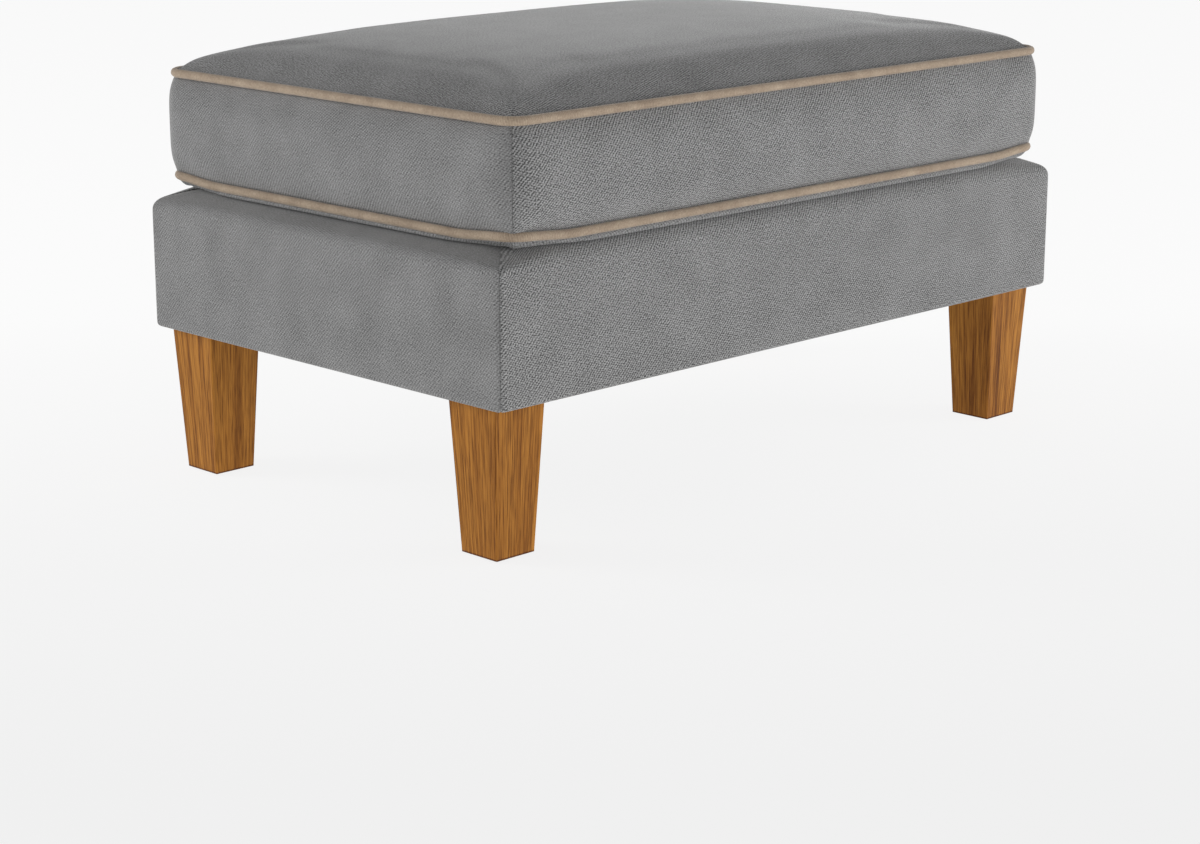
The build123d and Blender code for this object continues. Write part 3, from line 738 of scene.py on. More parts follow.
def deck_height(x, y):
    """The height of the base's cloth at each place, or the deck's height inside the cover's lip."""
    heights = np.full(np.shape(x), base_top)
    for place in np.ndindex(*heights.shape):
        hit = cover_tree.ray_cast(Vector((x[place], y[place], well_above)), straight_down)
        if hit[0] is not None:
            heights[place] = min(hit[0].z, base_top)
    return heights


# %% [markdown]
# The cushion is one closed form first: a top and a bottom panel that are grids, and a band of four
# runs between two seams. The top crowns because the filling is thicker in the middle. Near the
# seam it climbs almost upright, then bends over. The cloth simulation then blows this form up a
# little against its seams, which gives the small unevenness of real padding.

# %% Sizes of the cushion
piping_low, piping_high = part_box("piping_top")
top_seam = (piping_low.z + piping_high.z) / 2
bottom_seam = sum(corner.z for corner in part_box("piping_bottom")) / 2
piping_radius = (piping_high.z - piping_low.z) / 2
cushion_half = np.array([piping_high.x, piping_high.y])
cushion_corner = 0.018
seam_draw = 2 * piping_radius + 0.0005
seam_half = cushion_half - seam_draw
seam_turn = cushion_corner - seam_draw
crown_rise = 0.0418
crown_powers = (3.2553, 3.4051)
crown_flatness = 0.3647
rim_steepness = 2.8
rim_reach = {"corner": 0.020, "side": 0.062}
rim_change = 0.100
rest_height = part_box("bottom_panel")[0].z
seam_sag = 0.0043
underside_reach = {"corner": 0.023, "side": 0.0125}
rim_roll = {"corner": 0.0085, "side": 0.0115}
roll_width = 1.6
rest_gap = 0.0008
seam_sag_change = (0.012, 0.085)
band_rows = 13
band_proud = 0.0052
band_turn = 0.034
band_squareness = 5
cushion_crowding = 0.7
cushion_counts = (86, 56)
print("Seams at mm:", round(1000 * bottom_seam), round(1000 * top_seam), "crown", round(1000 * crown_rise))


def corner_distance(x, y):
    """How far a point on the edge is from the nearest corner, along the edge."""
    return np.maximum(np.maximum(cushion_half[0] - np.abs(x), cushion_half[1] - np.abs(y)), 0)


def bottom_seam_height(x, y):
    """The lower seam dips a little between the corners, where the weight lies."""
    return bottom_seam - seam_sag * ease(corner_distance(x, y), *seam_sag_change)


def between(values, along):
    """A value at the corners that goes over to another one at the sides."""
    return values["corner"] + (values["side"] - values["corner"]) * along


def crown_height(x, y):
    """Height of the top panel: it climbs from the seam, faster near the corners, to a low dome."""
    across = np.clip(np.abs(x) / cushion_half[0], 0, 1)
    deep = np.clip(np.abs(y) / cushion_half[1], 0, 1)
    inside = np.stack([seam_half[0] - np.abs(x), seam_half[1] - np.abs(y)])
    reach = between(rim_reach, ease(inside.max(axis=0), 0, rim_change))
    climb = 1 - (1 - np.clip(inside.min(axis=0) / reach, 0, 1)) ** rim_steepness
    dome = ((1 - across ** crown_powers[0]) * (1 - deep ** crown_powers[1])) ** crown_flatness
    return top_seam + crown_rise * dome * climb


def underside_points(flat):
    """The bottom panel: a roll under the piping, and then the cloth settles on the deck."""
    x, y = flat[..., 0], flat[..., 1]
    inside = np.stack([seam_half[0] - np.abs(x), seam_half[1] - np.abs(y)])
    along = ease(inside.max(axis=0), 0.0, rim_change)
    reach = between(underside_reach, along)
    roll = between(rim_roll, along)
    way = np.clip(1 - inside / (roll_width * reach), 0, 1) * np.sign([x, y])
    way /= np.maximum(np.linalg.norm(way, axis=0), 1e-9)
    share = np.clip(inside.min(axis=0) / reach, 0, 1)
    outward = roll * np.sin(math.pi * share)
    x, y = x + way[0] * outward, y + way[1] * outward
    seam = bottom_seam_height(x, y)
    resting = np.minimum(deck_height(x, y) + rest_gap, rest_height)
    height = seam - (seam - resting) * np.sin(math.pi / 2 * share)
    return np.stack([x, y, np.maximum(height, resting)], axis=-1)


# %% [markdown]
# A panel is a grid whose border is a ring, so its inner points are blended from the four runs of
# that ring: rows between front and back, plus columns between left and right, minus what both
# have counted, which is the blend of the four corners. So the grid meets all four runs exactly.

# %% Grids inside a ring
def sides_of_ring(half, radius):
    runs = [side_run(side, *half, radius, cushion_counts, cushion_crowding) for side in side_names]
    return dict(zip(side_names, runs))


def blended_grid(front, back, left, right):
    """The grid inside four runs, with front and back from left to right, and the others upwards."""
    across = np.linspace(0, 1, len(front))[None, :, None]
    deep = np.linspace(0, 1, len(left))[:, None, None]
    between_rows = (1 - deep) * front[None] + deep * back[None]
    between_columns = (1 - across) * left[:, None] + across * right[:, None]
    corners = (1 - deep) * ((1 - across) * front[0] + across * front[-1])
    corners = corners + deep * ((1 - across) * back[0] + across * back[-1])
    return between_rows + between_columns - corners


def filled_ring(half, radius):
    runs = sides_of_ring(half, radius)
    return blended_grid(runs["front"], runs["back"][::-1], runs["left"][::-1], runs["right"])


def band_ring(share):
    """The band's ring at a share of its height. It bulges between its seams."""
    points = []
    full_half = cushion_half + band_proud
    for side in side_names:
        seam_run = side_run(side, *seam_half, seam_turn, cushion_counts, cushion_crowding)
        full_run = side_run(side, *full_half, band_turn, cushion_counts, cushion_crowding)
        fullness = 1 - abs(2 * share - 1) ** band_squareness
        run = seam_run + (full_run - seam_run) * fullness
        low = bottom_seam_height(run[:, 0], run[:, 1])
        height = low + (top_seam - low) * share
        points.append(np.column_stack([run, height])[:-1])
    return np.vstack(points)


flat_top = filled_ring(seam_half, seam_turn)
top_grid = np.dstack([flat_top, crown_height(flat_top[..., 0], flat_top[..., 1])])
bottom_grid = underside_points(flat_top)
top_rows, top_columns = flat_top.shape[:2]
rings = np.array([band_ring(share) for share in np.linspace(0, 1, band_rows)])
ring_length = rings.shape[1]

# %% [markdown]
# To sew the three together, the band's first and last ring have to be the very border points of
# the two panels. So the border points are looked up in ring order and used by both.

# %% One closed cushion
def border_order(rows, columns):
    """Indices of a grid's border, from the front left corner, anticlockwise seen from above."""
    front = list(range(columns - 1))
    right = [row * columns + columns - 1 for row in range(rows - 1)]
    back = [(rows - 1) * columns + column for column in range(columns - 1, 0, -1)]
    left = [row * columns for row in range(rows - 1, 0, -1)]
    return front + right + back + left


border = border_order(top_rows, top_columns)
panel_size = top_rows * top_columns
bottom_start, band_start = panel_size, 2 * panel_size
closed_points = np.vstack([part.reshape(-1, 3) for part in (top_grid, bottom_grid, rings[1:-1])])
ring_indices = np.empty((band_rows, ring_length), int)
ring_indices[0] = [bottom_start + index for index in border]
ring_indices[-1] = border
for row in range(1, band_rows - 1):
    ring_indices[row] = band_start + (row - 1) * ring_length + np.arange(ring_length)
closed_faces = grid_faces(top_rows, top_columns)
closed_faces += [tuple(reversed(face)) for face in grid_faces(top_rows, top_columns, start=bottom_start)]
for row in range(band_rows - 1):
    for column in range(ring_length):
        beside = (column + 1) % ring_length
        closed_faces.append((
            ring_indices[row, column],
            ring_indices[row, beside],
            ring_indices[row + 1, beside],
            ring_indices[row + 1, column],
        ))
print("Cushion points and faces:", len(closed_points), len(closed_faces))

# %% [markdown]
# Cloth simulation with pressure: the seams and what already rests on the deck are pinned, gravity
# is off, and twenty frames are enough. The form starts a little smaller than it ends. Afterwards
# no point may have moved further than the cap, so the size stays as measured.

# %% Blow the cushion up
inflate_cap = 0.0012
start_draw = 0.0008
resting_below = rest_height + 0.0004
last_frame = 20


def inflated(points, faces):
    """The points after a short cloth simulation."""
    form = make_piece("cushion_in_simulation", points, faces)
    pins = form.vertex_groups.new(name="seams")
    pins.add([int(i) for i in np.unique(ring_indices[[0, -1]])], 1.0, "REPLACE")
    resting = np.nonzero(points[:, 2] < resting_below)[0]
    pins.add([int(i) for i in resting], 1.0, "REPLACE")
    cloth = form.modifiers.new("cloth", "CLOTH")
    settings = cloth.settings
    settings.quality = 6
    settings.mass = 0.4
    settings.tension_stiffness = 22
    settings.compression_stiffness = 18
    settings.shear_stiffness = 8
    settings.bending_stiffness = 1.2
    settings.air_damping = 3
    settings.use_pressure = True
    settings.uniform_pressure_force = 2
    settings.vertex_group_mass = "seams"
    settings.effector_weights.gravity = 0
    scene = bpy.context.scene
    scene.frame_start = 1
    scene.frame_end = last_frame
    cloth.point_cache.frame_start = 1
    cloth.point_cache.frame_end = last_frame
    for step in range(1, last_frame + 1):
        scene.frame_set(step)
    shown = form.evaluated_get(bpy.context.evaluated_depsgraph_get())
    moved = np.empty(len(points) * 3)
    shown.data.vertices.foreach_get("co", moved)
    moved = moved.reshape(-1, 3)
    scene.frame_set(1)
    bpy.data.objects.remove(form, do_unlink=True)
    return moved


def normals_of(points, faces):
    """One outward direction for each point of a closed form."""
    faces = np.asarray(faces)
    first = points[faces[:, 2]] - points[faces[:, 0]]
    second = points[faces[:, 3]] - points[faces[:, 1]]
    total = np.zeros_like(points)
    for corner in range(4):
        np.add.at(total, faces[:, corner], np.cross(first, second))
    return total / (np.linalg.norm(total, axis=1)[:, None] + 1e-12)


normals = normals_of(closed_points, closed_faces)
if normals[:panel_size, 2].mean() < 0:
    normals = -normals
held = closed_points[:, 2] < resting_below
held[ring_indices[[0, -1]]] = True
slack = closed_points - normals * start_draw * (~held)[:, None]
moved = inflated(slack, closed_faces)
step = moved - slack
size = np.linalg.norm(step, axis=1)
print("Largest move in mm:", round(1000 * float(size.max()), 1))
capped = step * np.minimum(1, inflate_cap / np.maximum(size, 1e-9))[:, None]
cushion_points = slack + capped
cushion_points[held] = closed_points[held]
print("Crown height in mm:", round(1000 * (cushion_points[:, 2].max() - top_seam), 1))

# %% [markdown]
# The zip is sewn into the back band, and it holds the cloth flat there. So the band is drawn in
# to the plane of the CAD band around the opening. The batting uses the same function later, with
# a plane behind the zip.

# %% Flat place for the zip
opening_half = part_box("zip_stops")[1].x + 0.002
opening_middle = (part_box("zip_tape_lower")[0].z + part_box("zip_tape_upper")[1].z) / 2
opening_half_height = 0.007
drawn_in_beside = (0.006, 0.045)
drawn_in_above = (0.006, 0.030)
band_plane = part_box("band_back")[1].y


def drawn_to_zip(points, plane):
    """The points with those near the zip pulled in to a plane, where they stand out of it."""
    beside = np.abs(points[..., 0]) - opening_half
    above = np.abs(points[..., 2] - opening_middle) - opening_half_height
    near = (1 - ease(beside, *drawn_in_beside)) * (1 - ease(above, *drawn_in_above))
    near *= points[..., 1] > cushion_half[1] * 0.8
    drawn = points.copy()
    drawn[..., 1] += (np.minimum(points[..., 1], plane) - points[..., 1]) * near
    return drawn


cushion_points = drawn_to_zip(cushion_points, band_plane)
print("Zip opening in mm:", round(2000 * opening_half), "x", round(2000 * opening_half_height))

# %% [markdown]
# The opening's edge has to lie on lines of points, so lines are added there. One that lay closer
# than 2 mm to a new line goes, because the sliver between them would show as a row of dots.

# %% Opening for the zip
closest_lines = 0.002


def with_line(grid, axis, place_axis, value):
    """The grid with a line of points where a coordinate has this value, and no other very close by."""
    lines = grid if axis == 1 else grid.transpose(1, 0, 2)
    new = []
    for line in lines:
        order = np.argsort(line[:, place_axis])
        new.append([np.interp(value, line[order, place_axis], line[order, part]) for part in range(3)])
    middle = lines[len(lines) // 2][:, place_axis]
    crowded = np.nonzero(np.abs(middle - value) < closest_lines)[0]
    grid = np.delete(grid, crowded, axis=axis)
    middle = np.delete(middle, crowded)
    rising = middle[-1] > middle[0]
    index = int(np.sum(middle < value) if rising else np.sum(middle > value))
    return np.insert(grid, index, np.array(new), axis=axis)


def cut_opening(panel):
    """Takes the zip's opening out of the back band."""
    form = bmesh.new()
    form.from_mesh(panel.data)
    inside = []
    for face in form.faces:
        spot = face.calc_center_median()
        if abs(spot.x) < opening_half and abs(spot.z - opening_middle) < opening_half_height:
            inside.append(face)
    bmesh.ops.delete(form, geom=inside, context="FACES")
    form.to_mesh(panel.data)
    form.free()


# %% [markdown]
# The closed form is cut back into its six panels, because each is a piece of cloth of its own.
# The upright edges of the band turn inwards, so that two panels meet in a real
# seam. Each panel stores how far across and how far up its cloth every point is.

# %% Panels of the cushion
cushion_cloth = 0.0011
line_beside_opening = 0.003


def cloth_panel(name, grid, way, node, opening=False):
    rows, columns = grid.shape[:2]
    panel = make_piece(name, grid.reshape(-1, 3), grid_faces(rows, columns))
    store_lengths(panel, grid)
    if opening:
        cut_opening(panel)
    thicken(panel, cushion_cloth, 1)
    wear(panel, twills[way])
    stand_in(panel, "cushion", node)


top_final = cushion_points[:bottom_start].reshape(top_rows, top_columns, 3)
bottom_final = cushion_points[bottom_start:band_start].reshape(top_rows, top_columns, 3)
cloth_panel("cushion_top", top_final, "top", "top_panel")
cloth_panel("cushion_underside", bottom_final, "under", "bottom_panel")

runs = sides_of_ring(seam_half, seam_turn).values()
ring_starts = np.cumsum([0] + [len(run) - 1 for run in runs])
band_centre = np.array([0, 0, (bottom_seam + top_seam) / 2])
for place, side in enumerate(side_names):
    columns = np.arange(ring_starts[place], ring_starts[place + 1] + 1) % ring_length
    grid = cushion_points[ring_indices[:, columns]]
    grid = sewn_ends(grid, band_centre, band_groove)
    if side == "back":
        for height in (-opening_half_height, opening_half_height):
            grid = with_line(grid, 0, 2, opening_middle + height)
        for step in (-line_beside_opening, 0, line_beside_opening):
            edge = opening_half + step
            grid = with_line(with_line(grid, 1, 0, edge), 1, 0, -edge)
    cloth_panel(f"cushion_band_{side}", grid, side, f"band_{side}", side == "back")

# %% [markdown]
# The piping is a cord of one radius that follows each seam, just outside it. The mesh is a ring
# of small circles. Each point also stores how far along and around the cord it is, for the ribs.

# %% Piping
piping_counts = (260, 170)
piping_crowding = 0.3
piping_corner = cushion_corner - piping_radius + 0.008
around_steps = 14


def cord_path(height_of):
    """Points along the cord's middle, from the middle of the back, where its ends are joined."""
    half = cushion_half - piping_radius
    runs = [side_run(side, *half, piping_corner, piping_counts, piping_crowding) for side in side_names]
    flat = np.vstack([run[:-1] for run in runs])
    back_middle = int(np.argmin(np.abs(flat[:, 0]) - 10 * flat[:, 1]))
    flat = np.roll(flat, -back_middle, axis=0)
    return np.column_stack([flat, height_of(flat[:, 0], flat[:, 1])])


def piping(name, path, node):
    """A tube round the path, with its skin's coordinates stored for the ribs."""
    ahead = np.roll(path, -1, axis=0) - np.roll(path, 1, axis=0)
    ahead /= np.linalg.norm(ahead, axis=1)[:, None]
    outward = np.cross(ahead, (0, 0, 1))
    outward /= np.linalg.norm(outward, axis=1)[:, None]
    upward = np.cross(outward, ahead)
    walked = np.concatenate([[0], np.cumsum(np.linalg.norm(np.diff(path, axis=0), axis=1))])
    points, along, around = [], [], []
    for step in range(around_steps):
        angle = 2 * math.pi * step / around_steps + math.pi
        points.append(path + piping_radius * (outward * math.cos(angle) + upward * math.sin(angle)))
        along.append(walked)
        around.append(np.full(len(path), step / around_steps))
    points = np.array(points).transpose(1, 0, 2)
    faces = []
    for spot in range(len(path)):
        for step in range(around_steps):
            nearby = (step + 1) % around_steps
            here = spot * around_steps
            further = (spot + 1) % len(path) * around_steps
            faces.append((here + step, further + step, further + nearby, here + nearby))
    cord = make_piece(name, points.reshape(-1, 3), faces)
    for word, values in (("along", along), ("around", around)):
        stored = cord.data.attributes.new(word, "FLOAT", "POINT")
        stored.data.foreach_set("value", np.array(values).T.reshape(-1))
    wear(cord, piping_cloth)
    stand_in(cord, "cushion", node)


piping("piping_cord_top", cord_path(lambda x, y: np.full(len(x), top_seam)), "piping_top")
piping("piping_cord_bottom", cord_path(bottom_seam_height), "piping_bottom")

# %% [markdown]
# Foam comes in blocks. Each block here has rounded edges and may be domed. Its sides are a stack
# of rings, and a blended grid closes it at the top and at the bottom.

# %% A padded block
def block_rings(low, high, turn, crown, steps):
    """The block's rings from its bottom to its top, with quarter turns at both edges."""
    half = (high - low) / 2
    middle = (high + low) / 2
    top = high[2] - crown
    rows = []
    for angle in np.linspace(0, math.pi / 2, 5):
        rows.append((turn * (1 - math.sin(angle)), low[2] + turn * (1 - math.cos(angle))))
    for share in np.linspace(0, 1, steps[2] + 1)[1:-1]:
        rows.append((0.0, low[2] + turn + (top - low[2] - 2 * turn) * share))
    for angle in np.linspace(math.pi / 2, 0, 5):
        rows.append((turn * (1 - math.sin(angle)), top - turn * (1 - math.cos(angle))))
    rings = []
    for inset, height in rows:
        corner = max(turn * 1.5 - inset, 0.001)
        size = half[:2] - inset
        runs = [side_run(side, *size, corner, steps[:2])[:-1] for side in side_names]
        flat = np.vstack(runs) + middle[:2]
        rings.append(np.column_stack([flat, np.full(len(flat), height)]))
    return np.array(rings)


def block_cap(ring, order, rows, columns):
    """The grid that closes a ring."""
    grid = np.zeros((rows * columns, 3))
    grid[order] = ring
    grid = grid.reshape(rows, columns, 3)
    return blended_grid(grid[0], grid[-1], grid[:, 0], grid[:, -1])


def closed_block(name, low, high, turn, crown=0.0, steps=(36, 24, 8)):
    """A block with rounded edges, domed by a crown, made from rings and a cap over each end."""
    low, high = np.array(low), np.array(high)
    rings = block_rings(low, high, turn, crown, steps)
    faces = grid_faces(*rings.shape[:2], closed=True)
    columns = steps[0] + 2 * arc_steps + 1
    rows = steps[1] + 2 * arc_steps + 1
    order = border_order(rows, columns)
    bottom_cap = block_cap(rings[0], order, rows, columns)
    top_cap = block_cap(rings[-1], order, rows, columns)
    middle, reach = (high + low)[:2] / 2, (high - low)[:2] / 2 - turn
    across, deep = np.moveaxis(np.clip(np.abs(top_cap[..., :2] - middle) / reach, 0, 1), -1, 0)
    top_cap[..., 2] += crown * np.sqrt(np.clip((1 - across**3) * (1 - deep**3), 0, 1))
    start = rings.size // 3
    for first_of_ring in (0, start - rings.shape[1]):
        lookup = np.arange(rows * columns) + start
        lookup[order] = first_of_ring + np.arange(len(order))
        faces += [tuple(lookup[list(face)]) for face in grid_faces(rows, columns)]
        start += rows * columns
    points = np.vstack([part.reshape(-1, 3) for part in (rings, bottom_cap, top_cap)])
    piece = make_piece(name, points, faces)
    remove_loose(piece)
    return piece


def remove_loose(piece):
    """Removes points that no face uses, and sets the faces' directions."""
    form = bmesh.new()
    form.from_mesh(piece.data)
    bmesh.ops.delete(form, geom=[v for v in form.verts if not v.link_faces], context="VERTS")
    bmesh.ops.recalc_face_normals(form, faces=form.faces)
    form.to_mesh(piece.data)
    form.free()


def uneven(piece, amount, scale):
    """Small dents and swellings, along the normals, the same every run."""
    mesh = piece.data
    for vertex in mesh.vertices:
        vertex.co += vertex.normal * amount * noise.noise(vertex.co * scale)
    mesh.update()


# %% [markdown]
# Inside the cushion a foam block is wrapped in polyester batting. The batting has the cushion's
# own form, from a little inside the cover, and stays behind the zip.

# %% Foam and batting
foam_turn = 0.012
foam_crown = 0.018
batting_depth = 0.0022
room_behind_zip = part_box("zip_slider")[0].y - 0.0006
foam_block = closed_block("cushion_foam", *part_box("foam_core"), foam_turn, foam_crown)
wear(foam_block, foam)
uneven(foam_block, 0.0006, 18)
stand_in(foam_block, "cushion", "foam_core")

batting_points = drawn_to_zip(cushion_points - normals * batting_depth, room_behind_zip)
batting_piece = make_piece("cushion_batting", batting_points, closed_faces)
wear(batting_piece, batting)
stand_in(batting_piece, "cushion", "fibre_wrap")
print("Batting in mm under the cover's face:", 1000 * batting_depth)

# %% [markdown]
# The base's own padding: a foam pad under the deck cloth, and a strip of wadding on each side.
# The pad's top is pressed down to just under the cloth that lies on it.

# %% Padding of the base
pad_low, pad_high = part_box("deck_pad")
pad_turn = 0.008
pad_crown = 0.012
cloth_over_foam = 0.0016
pad_room = Vector((0, 0, 0.0002))
deck_foam = closed_block("deck_foam", pad_low, pad_high - pad_room, pad_turn, pad_crown, (48, 32, 4))
foam_points = np.array([vertex.co for vertex in deck_foam.data.vertices])
foam_ceiling = deck_height(foam_points[:, 0], foam_points[:, 1]) - cloth_over_foam
foam_top = foam_points[:, 2] > (pad_low.z + pad_high.z) / 2
foam_points[foam_top, 2] = np.minimum(foam_points[foam_top, 2], foam_ceiling[foam_top])
deck_foam.data.vertices.foreach_set("co", foam_points.reshape(-1))
wear(deck_foam, foam)
stand_in(deck_foam, "base", "deck_pad")

wadding_turn = 0.0022
for side in side_names:
    low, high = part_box(f"wadding_{side}")
    steps = (30, 10, 10) if side in long_sides else (10, 24, 10)
    strip = closed_block(f"side_wadding_{side}", low, high, wadding_turn, 0.0, steps)
    wear(strip, batting)
    uneven(strip, 0.0005, 60)
    stand_in(strip, "base", f"wadding_{side}")
print("Padded pieces of the base:", 1 + len(side_names))

# %% [markdown]
# Flat cloths: the lining on top of the deck, the hessian over the webbing and the dust cloth
# under the frame. Each is a fine grid with a real thickness. No stapled cloth is perfectly flat,
# so the hessian ripples by a tenth of a millimetre, and the dust cloth also sags a little.

# %% Flat cloths
ripple = 0.0001
dust_sag = 0.0004


def flat_cloth(name, node, finish, thickness, sag, ripple, steps=(48, 32)):
    low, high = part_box(node)
    points = []
    for share_y in np.linspace(0, 1, steps[1] + 1):
        for share_x in np.linspace(0, 1, steps[0] + 1):
            x = low.x + (high.x - low.x) * share_x
            y = low.y + (high.y - low.y) * share_y
            inside = math.sin(math.pi * share_x) * math.sin(math.pi * share_y)
            wave = math.sin(31 * x + 9 * y) * math.sin(23 * y - 7 * x)
            points.append((x, y, high.z - sag * inside**0.7 + ripple * wave * inside))
    cloth = make_piece(name, points, grid_faces(steps[1] + 1, steps[0] + 1))
    faced_up(cloth, 2)
    thicken(cloth, thickness)
    wear(cloth, finish)
    stand_in(cloth, "base", node)


flat_cloth("deck_lining", "platform_cloth", lining, 0.0010, 0, 0)
flat_cloth("hessian_sheet", "hessian", jute, 0.0008, 0, ripple)
flat_cloth("dust_cloth_sheet", "dust_cover", dust_cloth, 0.0005, dust_sag, ripple, (64, 40))

# %% [markdown]
# The webbing is eight flat straps woven over and under each other. Their places come from the CAD
# straps, and where a strap crosses over another it rises by its own thickness in a gentle slope.

# %% Webbing
strap_rise = 0.0018
strap_cloth = 0.0016
crossing_slope = (0.034, 0.05)
under_surface = 0.00005


def strap_line(node, others, axis):
    """Points along a strap's top, as distance along it and height."""
    low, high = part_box(node)
    steps = np.linspace(low[axis], high[axis], 121)
    lift = high.z - low.z - strap_rise
    heights = np.full(len(steps), low.z + strap_rise)
    for other, over in others:
        if over:
            middle = (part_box(other)[0][axis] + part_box(other)[1][axis]) / 2
            heights += lift * (1 - ease(np.abs(steps - middle), *crossing_slope))
    return steps, heights


def strap(node, others, axis):
    low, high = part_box(node)
    steps, heights = strap_line(node, others, axis)
    beside = 1 - axis
    shares = np.linspace(0, 1, 9)
    points = []
    for step, height in zip(steps, heights):
        for share in shares:
            spot = [0, 0, height - under_surface]
            spot[axis] = step
            spot[beside] = low[beside] + (high[beside] - low[beside]) * share
            points.append(spot)
    piece = make_piece(node.replace("webbing", "woven_strap"), points, grid_faces(len(steps), len(shares)))
    faced_up(piece, 2)
    thicken(piece, strap_cloth)
    wear(piece, webbing_cloth)
    stand_in(piece, "base", node)


long_straps = [f"webbing_long_{n}" for n in (1, 2, 3)]
cross_straps = [f"webbing_cross_{n}" for n in (1, 2, 3, 4, 5)]
for row, node in enumerate(long_straps):
    strap(node, [(other, (row + column) % 2) for column, other in enumerate(cross_straps)], 0)
for column, node in enumerate(cross_straps):
    strap(node, [(other, (row + column + 1) % 2) for row, other in enumerate(long_straps)], 1)
print("Straps woven:", len(long_straps) + len(cross_straps))

# %% [markdown]
# The zip runs along the back band. Its tapes are narrow woven strips, and its two coils are rows
# of small nylon teeth that take turns, so they look interlocked when the zip is closed.

# %% Zip tapes and coils
zip_halves = ("upper", "lower")
tape_cloth = 0.0005
columns, rows = 97, 7
for half_name in zip_halves:
    low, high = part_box(f"zip_tape_{half_name}")
    points = []
    for row in range(rows):
        for column in range(columns):
            x = low.x + (high.x - low.x) * column / (columns - 1)
            z = low.z + (high.z - low.z) * row / (rows - 1)
            points.append((x, high.y - under_surface, z))
    tape = make_piece(f"woven_tape_{half_name}", points, grid_faces(rows, columns))
    faced_up(tape, 1)
    thicken(tape, tape_cloth)
    wear(tape, zip_tape_cloth)
    stand_in(tape, "cushion", f"zip_tape_{half_name}")
    size = (round(high.x - low.x, 3), round(high.z - low.z, 3))

tooth_pitch = 0.0028
tooth_width = 0.0013
tooth_squareness = 0.7


def tooth_row(half_name):
    """Rounded teeth side by side inside the CAD coil's box."""
    low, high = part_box(f"zip_coil_{half_name}")
    shift = tooth_pitch / 4 if half_name == "upper" else -tooth_pitch / 4
    count = int((high.x - low.x - tooth_pitch) / tooth_pitch)
    teeth = bmesh.new()
    for number in range(count):
        x = low.x + tooth_pitch * (number + 0.75) + shift
        size = Vector((tooth_width, high.y - low.y, high.z - low.z))
        middle = Vector((x, (low.y + high.y) / 2, (low.z + high.z) / 2))
        made = bmesh.ops.create_uvsphere(teeth, u_segments=8, v_segments=6, radius=0.5)
        for vertex in made["verts"]:
            boxy = Vector([math.copysign(abs(2 * c) ** tooth_squareness, c) / 2 for c in vertex.co])
            vertex.co = middle + Vector([b * s for b, s in zip(boxy, size)])
    mesh = bpy.data.meshes.new(f"zip_teeth_{half_name}")
    teeth.to_mesh(mesh)
    teeth.free()
    mesh.shade_smooth()
    piece = bpy.data.objects.new(f"zip_teeth_{half_name}", mesh)
    bpy.context.collection.objects.link(piece)
    wear(piece, coil_nylon)
    stand_in(piece, "cushion", f"zip_coil_{half_name}")
    return count


print("Zip teeth:", sum(tooth_row(half_name) for half_name in zip_halves))

# %% [markdown]
# The studio: a pale floor that runs on without a horizon, and light from all sides, as a white
# tent gives. To the camera the floor and the surroundings are painted pale, whatever the light
# on them, and only part of the floor's own shading is kept, so that the shadow stays faint.

# %% Floor
# Painted light: the floor also glows a little, and so lights the ottoman from below, like the bounce from
# a white floor.
floor_glow = 0.6
paint_share = 0.88
near_to_far = (-0.95, 0.6)
near_paint, far_paint = linear(237, 237, 237), linear(249, 249, 249)
floor_half = 30


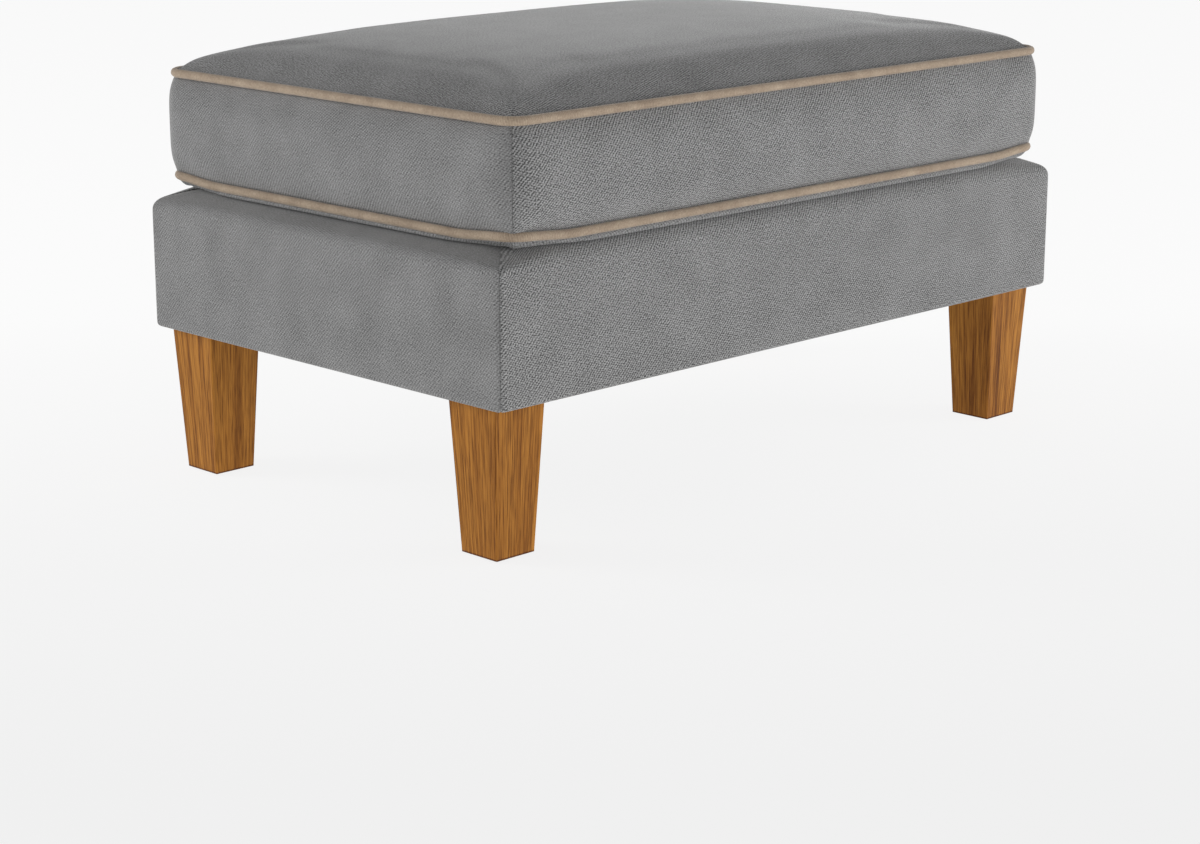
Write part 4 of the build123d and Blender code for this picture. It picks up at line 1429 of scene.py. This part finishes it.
def studio_floor():
    finish = Finish("pale_floor", 0.9, specular_ior_level=0.0)
    x, y, z = finish.places()
    far = (x * gaze.x + y * gaze.y).above(*near_to_far)
    glow = finish.node("Emission", inputs={0: finish.mix(far, near_paint, far_paint)})
    finish.feed("Base Color", (0.86, 0.86, 0.86))
    finish.feed("Emission Color", (1, 1, 1))
    finish.feed("Emission Strength", floor_glow)
    seen = finish.node("LightPath", output="Is Camera Ray")
    glossy = finish.node("LightPath", output="Is Glossy Ray")
    through = finish.node("LightPath", output="Is Transmission Ray")
    share = (seen + glossy + through).limited() * paint_share
    lit = Amount(finish.tree, finish.shader.outputs[0])
    blend = finish.node("MixShader", inputs={0: share, 1: lit, 2: glow})
    connect(finish.tree, blend, finish.output.inputs[0])
    return finish


corners = [(x * floor_half, y * floor_half, 0) for x, y in ((-1, -1), (1, -1), (1, 1), (-1, 1))]
floor = make_piece("studio_floor", corners, [(0, 1, 2, 3)])
floor.data.materials.append(studio_floor().material)
floor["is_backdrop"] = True
print("Floor in metres:", 2 * floor_half)

# %% [markdown]
# The world is the tent. It is brightest at the sides and dimmer overhead, so that the upright
# faces of the ottoman aren't darker than its top. The camera sees a plain pale backdrop instead.

# %% World
tent_low = 0.2
world = bpy.data.worlds.new("studio")
bpy.context.scene.world = world
world.use_nodes = True
world_tree = world.node_tree
world_tree.nodes.clear()
spread = add_node(world_tree, "TexCoord", output="Generated")
upward = add_node(world_tree, "SeparateXYZ", inputs={0: spread}, output=2)
strength = tent_low + (1 - upward).limited() ** 2.0
tent = add_node(world_tree, "Background", inputs={0: (1, 1, 1), 1: strength})
backdrop = add_node(world_tree, "Background", inputs={0: linear(250, 250, 250)})
seen = add_node(world_tree, "LightPath", output="Is Camera Ray")
pick = add_node(world_tree, "MixShader", inputs={0: seen, 1: tent, 2: backdrop})
surroundings = world_tree.nodes.new("ShaderNodeOutputWorld")
connect(world_tree, pick, surroundings.inputs[0])
print("World nodes:", len(world_tree.nodes))

# %% [markdown]
# Two large soft lamps stand opposite each other. One lights the front and the right end, and the
# other, higher up, lights the left end and the back.

# %% Lamps
lamp_aim = Vector((0, 0, 0.25))
lamp_size = 1.8


def soft_lamp(name, place, watts):
    data = bpy.data.lights.new(name, "AREA")
    data.shape = "DISK"
    data.size = lamp_size
    data.energy = watts
    lamp = bpy.data.objects.new(name, data)
    bpy.context.collection.objects.link(lamp)
    lamp.location = place
    lamp.rotation_euler = (lamp_aim - Vector(place)).to_track_quat("-Z", "Y").to_euler()


soft_lamp("front_light", (2.5, -2.5, 0.4), 61)
soft_lamp("end_light", (-2.5, 2.5, 2.0), 47)
bpy.context.scene.view_settings.view_transform = "Standard"
print("Lamps:", len(bpy.data.lights))

# %% Finish
low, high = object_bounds()
